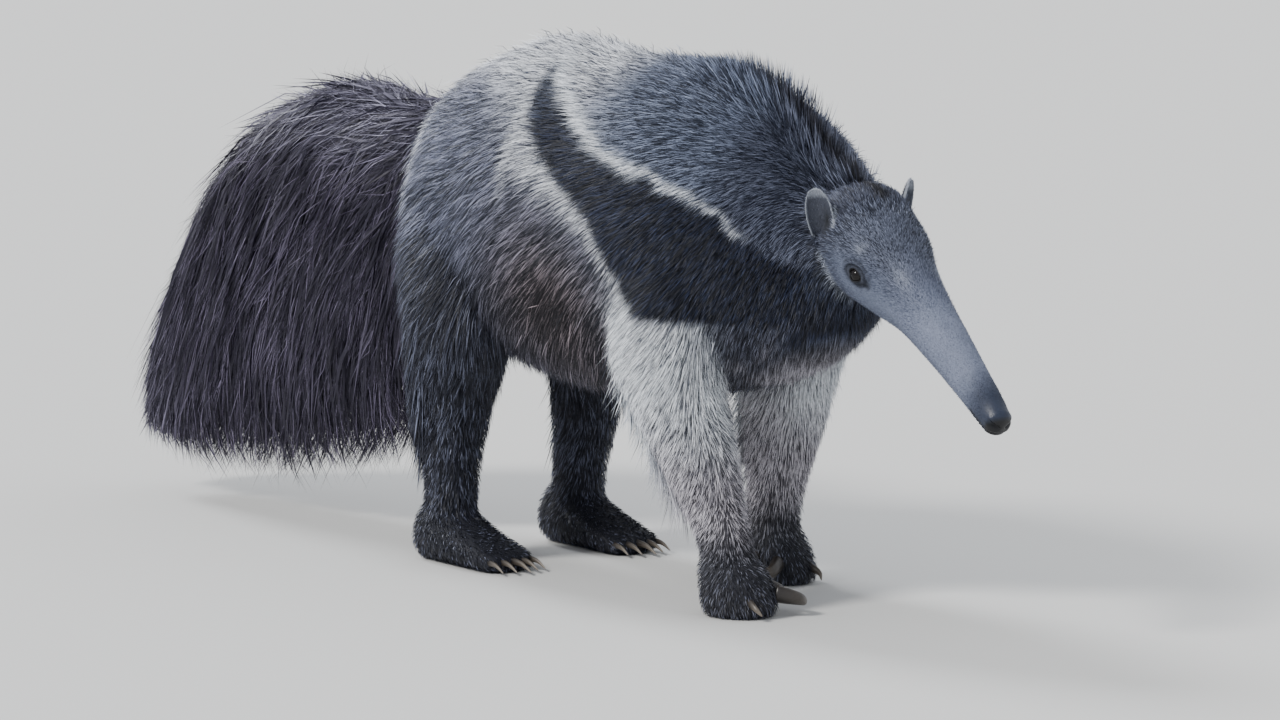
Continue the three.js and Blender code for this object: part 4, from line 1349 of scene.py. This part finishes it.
def spread(tree, factor, low, high):
    """A number from low to high as factor goes from 0 to 1."""
    made = node(tree, "ShaderNodeMapRange", **{"To Min": low, "To Max": high})
    tree.links.new(factor, made.inputs["Value"])
    return made.outputs["Result"]


def painted(name, roughness, specular, low, high, scale, detail, stretch=None):
    """A material in the piece's own colours, times a noise from low to high. Its noise comes with it."""
    made, tree, shader = principled(name, roughness, specular)
    colour = node(tree, "ShaderNodeAttribute", attribute_name="coat").outputs["Color"]
    speckle = noise_at(tree, scale, detail, stretch)
    factor = spread(tree, speckle, low, high)
    times = node(tree, "ShaderNodeVectorMath", operation="SCALE")
    tree.links.new(colour, times.inputs[0])
    tree.links.new(factor, times.inputs["Scale"])
    tree.links.new(times.outputs["Vector"], shader.inputs["Base Color"])
    return made, tree, shader, speckle


@functools.cache
def coat_material():
    return painted("coat_hair", 0.52, 0.35, 0.72, 1.28, 260.0, 3.0)[0]


def skin_material():
    """Dull hide under the hair, and smoother where the nose is bare."""
    made, tree, shader, _ = painted("hide", 0.62, 0.4, 0.6, 1.35, 420.0, 4.0)
    bare = node(tree, "ShaderNodeAttribute", attribute_name="bare").outputs["Fac"]
    tree.links.new(spread(tree, bare, 0.72, 0.34), shader.inputs["Roughness"])
    bump(tree, shader, noise_at(tree, 900.0, 3.0), 0.5, 0.0006)
    return made


@functools.cache
def eye_material():
    made, _, shader, _ = painted("eye_wet", 0.08, 0.15, 0.8, 1.2, 900.0, 2.0)
    shader.inputs["Coat Weight"].default_value = 0.25
    shader.inputs["Coat Roughness"].default_value = 0.03
    return made


@functools.cache
def claw_material():
    made, tree, shader, streaks = painted("claw_horn", 0.38, 0.5, 0.6, 1.4, 60.0, 4.0, (1, 14, 14))
    bump(tree, shader, streaks, 0.35, 0.0006)
    return made


# The skin's piece

PAIRED_NODES = ["foreleg", "hindleg", "forefoot", "hindfoot", "ear"]
SKIN_NODES = ["torso", "neck", "head", "tail"]
SKIN_NODES += [f"{part}_{side}" for side in SIDES for part in PAIRED_NODES]

skin = build_skin()
skin.data.calc_loop_triangles()
skin_points = coordinates(skin.data)
skin_normals = read(skin.data.vertices, "normal").astype(float)
skin_corners = read(skin.data.loop_triangles, "vertices", 3, np.int32)


def dress_skin():
    """Gives the skin the coat's markings and a bare nose, and puts it in the frame."""
    belongs = shares(skin_points)
    along = head_coords(skin_points)[:, 0]
    tones = markings(skin_points, belongs)
    light = tones[:, 6] * (0.35 + 0.55 * belongs["head"])
    on_face = belongs["head"] * smooth(0, 30, along)
    colours = tone_colours(tones, light) * col(mix(0.5, 0.95, on_face))
    bare = near_head(skin_points) * smooth(HEAD_LENGTH - 34, HEAD_LENGTH - 10, along)
    attribute = skin.data.attributes.new("bare", "FLOAT", "POINT")
    attribute.data.foreach_set("value", bare.astype(np.float32))
    set_coordinates(skin.data, place(skin_points))
    dress(skin, colours, skin_material(), "coat_dark", *SKIN_NODES)


dress_skin()


# The coat's pieces

NECK_X = 205
REAR_X = -120


def on(*kinds):
    """A test for points of the skin that belong mostly to these kinds of part."""

    def test(p):
        belongs = shares(p)
        return sum(belongs[k] for k in kinds) > 0.5

    return test


def buried(p):
    """The root of an ear, inside the head."""
    hidden = np.zeros(len(p), bool)
    for side in SIDES:
        root, tall, _, _ = ear_axes(side)
        h = (p - root) @ tall
        hidden |= (h < EAR_OUT - 4) & (np.linalg.norm(p - root - tall * h[:, None], axis=1) < 18) & (h > -2)
    return hidden & (head.locate(p)[2] < -6)


def on_head(p):
    """Where hair grows on the head, and how thickly: not on the nose, in an ear's root or inside the lids."""
    along = head_coords(p)[:, 0]
    thin = 1 - 0.5 * ear_view(p)[0]
    share = on("head")(p) * smooth(HEAD_LENGTH - 12, HEAD_LENGTH - 40, along) * ~buried(p) * thin
    return share * smooth(1.16, 1.5, nearest_eye(p))


# The trunk's zones: how many tufts a square centimetre, from and to which x, and on which sides
ZONES = {
    "rear_right": (30.0, -math.inf, REAR_X, [-1]),
    "rear_left": (30.0, -math.inf, REAR_X, [1]),
    "flank_right": (31.0, REAR_X, NECK_X, [-1]),
    "flank_left": (31.0, REAR_X, NECK_X, [1]),
    "neck": (51.0, NECK_X, math.inf, [-1, 1]),
}


def in_zone(zone):
    """A test for points in one zone."""
    _, start, end, sides = ZONES[zone]

    def test(p):
        side = np.where(p[:, 1] < 0, -1, 1)
        return on("trunk")(p) & (p[:, 0] >= start) & (p[:, 0] < end) & np.isin(side, sides)

    return test


def regions():
    """Each piece of short coat: its name, tufts a square centimetre, where, its forms, slot and looks."""
    for zone, (thick, *_) in ZONES.items():
        yield zone, thick, in_zone(zone), [trunk], "coat_dark", {}
    yield "under", 4.6, on("trunk"), [trunk], "coat_dark", {"wide": 3.4, "under": True}
    yield "head", 57.0, on_head, [head], "coat_head", {"clump": 0.0, "ticked": 0.5, "root": 0.85}
    yield "forelegs", 29.0, on("foreleg"), list(foreleg.values()), "coat_pale", {}
    yield "hindlegs", 21.0, on("hindleg"), list(hindleg.values()), "coat_dark", {}
    feet = [*forefoot.values(), *hindfoot.values()]
    yield "feet", 16.0, on("forefoot", "hindfoot"), feet, "coat_dark", {}


for region, thick, where, forms, slot, how in regions():
    coat(f"coat_{region}", lambda p: thick * where(p), forms, slot, **how)
for side, mirror in SIDES.items():
    tail_hair(f"coat_tail_{side}", mirror, LONG_HAIRS["tail"], width=0.95, length=108.0, deepest=16.0)
    below = LONG_HAIRS["tail_under"]
    tail_hair(f"coat_tail_under_{side}", mirror, below, width=4.8, length=210.0, deepest=30.0, under=True)
elbows = [("foreleg", foreleg[s], m, f, LONG_HAIRS["elbow"]) for s, m in SIDES.items() for f in ELBOW_FRINGES]
fringes("coat_elbows", elbows, "coat_pale", list(foreleg.values()))
lower = [("hindleg", hindleg[s], m, f, LONG_HAIRS["thigh"]) for s, m in SIDES.items() for f in THIGH_FRINGES]
lower += [("trunk", trunk, m, BELLY_FRINGE, LONG_HAIRS["belly"]) for m in SIDES.values()]
fringes("coat_thighs", lower, "coat_dark", [*hindleg.values(), trunk])
crest_hair("coat_crest", LONG_HAIRS["crest"])


# Claws: the radius at the root, then points along the middle, ahead of the foot's own place, inwards and up

def hind_claw(y):
    out = abs(y)
    line = [(98 - 0.35 * out, y, 12), (116 - 0.35 * out, 1.04 * y, 11), (134 - 0.45 * out, 1.06 * y, 4)]
    return 5.2 - 0.03 * out, line


FORE_CLAWS = [
    (5.5, [(-14, 34, 34), (-18, 46, 29), (-32, 50, 22)]),
    (9.0, [(14, 34, 30), (18, 50, 24), (-2, 56, 19), (-32, 52, 14)]),
    (10.5, [(40, 26, 25), (54, 48, 19), (36, 66, 12), (-12, 68, 6)]),
    (6.0, [(44, -14, 20), (60, -17, 14), (68, -14, 7)]),
]
HIND_CLAWS = [hind_claw(y) for y in (-28, -14, 0, 14, 28)]
HORN = {"root": (40, 36, 34), "tip": (112, 104, 94)}
CLAW_RINGS, CLAW_SIDES = 30, 24


def spline(points, t):
    """A smooth line through the points, t going from 0 to 1."""
    points = np.concatenate([[2 * points[0] - points[1]], points, [2 * points[-1] - points[-2]]])
    at = np.clip(t, 0, 1) * (len(points) - 3)
    i = np.minimum(at.astype(int), len(points) - 4)
    f = col(at - i)
    a, b, c, d = (points[i + k] for k in range(4))
    return 0.5 * (2 * b + (c - a) * f + (2 * a - 5 * b + 4 * c - d) * f**2 + (3 * b - a - 3 * c + d) * f**3)


def claw(name, side, foot, root, points):
    """A smooth curved claw, round above and flatter below."""
    mirror = SIDES[side]
    centre_y = {"fore": FORE_Y, "hind": HIND_Y}[foot] * mirror
    line = np.array([(FOOT_X[foot][side] + dx, centre_y - mirror * dy, z) for dx, dy, z in points], float)
    t = np.linspace(0, 1, CLAW_RINGS)
    centres = spline(line, t)
    tangents = unit(spline(line, t + 0.02) - spline(line, t - 0.02))
    angles = np.arange(CLAW_SIDES) * 2 * math.pi / CLAW_SIDES
    deep = np.where(np.sin(angles) > 0, 1.0, 0.78)
    rings = []
    for share, centre, tangent in zip(t, centres, tangents):
        across = unit(np.cross([0, 0, 1], tangent))
        up = np.cross(tangent, across)
        size = root * (1 - share) ** 0.62 * (1 - 0.25 * share) + 0.25
        wide, tall = np.cos(angles) * size * 0.72, np.sin(angles) * size * deep
        rings.append(centre + across * col(wide) + up * col(tall))
    points, faces = closed(rings)
    points[:, 2] = np.maximum(points[:, 2], LOWEST["claw"])
    share = np.append(np.repeat(t, CLAW_SIDES), [0, 1])
    colours = mix(linear(HORN["root"]), linear(HORN["tip"]), col(smooth(0.05, 0.95, share)))
    obj = mesh_object(name, place(points), faces)
    dress(obj, colours, claw_material(), "claw", name.replace("nail", "claw"))


for side in SIDES:
    for foot, claws in (("fore", FORE_CLAWS), ("hind", HIND_CLAWS)):
        for i, (root, points) in enumerate(claws):
            claw(f"{foot}nail_{side}_{i + 1}", side, foot, root, points)


# Eyes

PUPIL, IRIS, WHITE = linear((3, 3, 4)), linear((16, 12, 12)), linear((20, 16, 16))


def eyeball(side):
    """A round eye that faces out and a little forward, its pupil and iris painted on."""
    centre = EYE_CENTRE[side]
    facing = unit(head_point(EYE["along"] + 1.0, (EYE["side"] + 8) * SIDES[side], EYE["up"]) - centre)
    other = unit(np.cross(facing, [0, 0, 1]))
    third = np.cross(facing, other)
    angles = np.arange(40) * 2 * math.pi / 40
    ring = np.cos(angles)[:, None] * other + np.sin(angles)[:, None] * third
    turns = np.linspace(0, math.pi, 26)[1:-1]
    rings = [centre + EYE_RADIUS * (math.cos(turn) * facing + math.sin(turn) * ring) for turn in turns]
    points, faces = closed(rings)
    away = 1 - dot(unit(points - centre), facing)
    colours = mix(mix(PUPIL, IRIS, col(smooth(0.05, 0.07, away))), WHITE, col(smooth(0.3, 0.36, away)))
    obj = mesh_object(f"eyeball_{side}", place(points), faces)
    dress(obj, colours, eye_material(), "eye", f"eye_{side}")


for side in SIDES:
    eyeball(side)


# Studio

CAMERA = {"azimuth": 52.0, "elevation": 8.0, "distance": 25.0, "scale": 0.9, "target": (-13.6, -17.4, 246.7)}
IMAGE_WIDTH = 1280
SENSOR = 36.0
FLOOR_REACH = 60.0


def make_camera():
    """A long lens at the photo's angle. Its scale is in picture pixels to the millimetre at the target."""
    data = bpy.data.cameras.new("camera")
    data.sensor_width = SENSOR
    data.lens = CAMERA["scale"] * CAMERA["distance"] * 1000 / IMAGE_WIDTH * SENSOR
    data.clip_start, data.clip_end = 1.0, 200.0
    a, e = math.radians(CAMERA["azimuth"]), math.radians(CAMERA["elevation"])
    back = np.array([math.sin(a) * math.cos(e), -math.cos(a) * math.cos(e), math.sin(e)])
    right_way = np.array([math.cos(a), math.sin(a), 0])
    matrix = np.eye(4)
    matrix[:3, 0], matrix[:3, 1], matrix[:3, 2] = right_way, np.cross(back, right_way), back
    matrix[:3, 3] = place(np.array(CAMERA["target"])) + back * CAMERA["distance"]
    obj = add_object("camera", data)
    obj.matrix_world = Matrix(matrix.tolist())
    bpy.context.scene.camera = obj


def make_light(name, azimuth, elevation, strength, angle, colour):
    data = bpy.data.lights.new(name, "SUN")
    data.energy = strength
    data.angle = math.radians(angle)
    data.color = colour
    add_object(name, data).rotation_euler = (math.radians(90 - elevation), 0, math.radians(azimuth))


def make_floor():
    corners = [(x * FLOOR_REACH, y * FLOOR_REACH, 0) for x, y in ((-1, -1), (1, -1), (1, 1), (-1, 1))]
    floor = mesh_object("floor", corners, [[0, 1, 2, 3]])
    made, tree, shader = principled("floor_pale", 0.8, 0.2)
    shader.inputs["Base Color"].default_value = (0.62, 0.62, 0.61, 1)
    bump(tree, shader, noise_at(tree, 30.0), 0.05, 0.001)
    floor.data.materials.append(made)


def make_world():
    world = bpy.data.worlds.new("studio")
    world.use_nodes = True
    background = world.node_tree.nodes["Background"]
    background.inputs["Color"].default_value = (0.86, 0.89, 0.94, 1)
    background.inputs["Strength"].default_value = 0.9
    bpy.context.scene.world = world


make_camera()
make_floor()
make_world()
make_light("key", azimuth=-5, elevation=42, strength=2.9, angle=14, colour=(1.0, 0.98, 0.95))
make_light("rim", azimuth=-95, elevation=34, strength=2.6, angle=16, colour=(0.95, 0.97, 1.0))
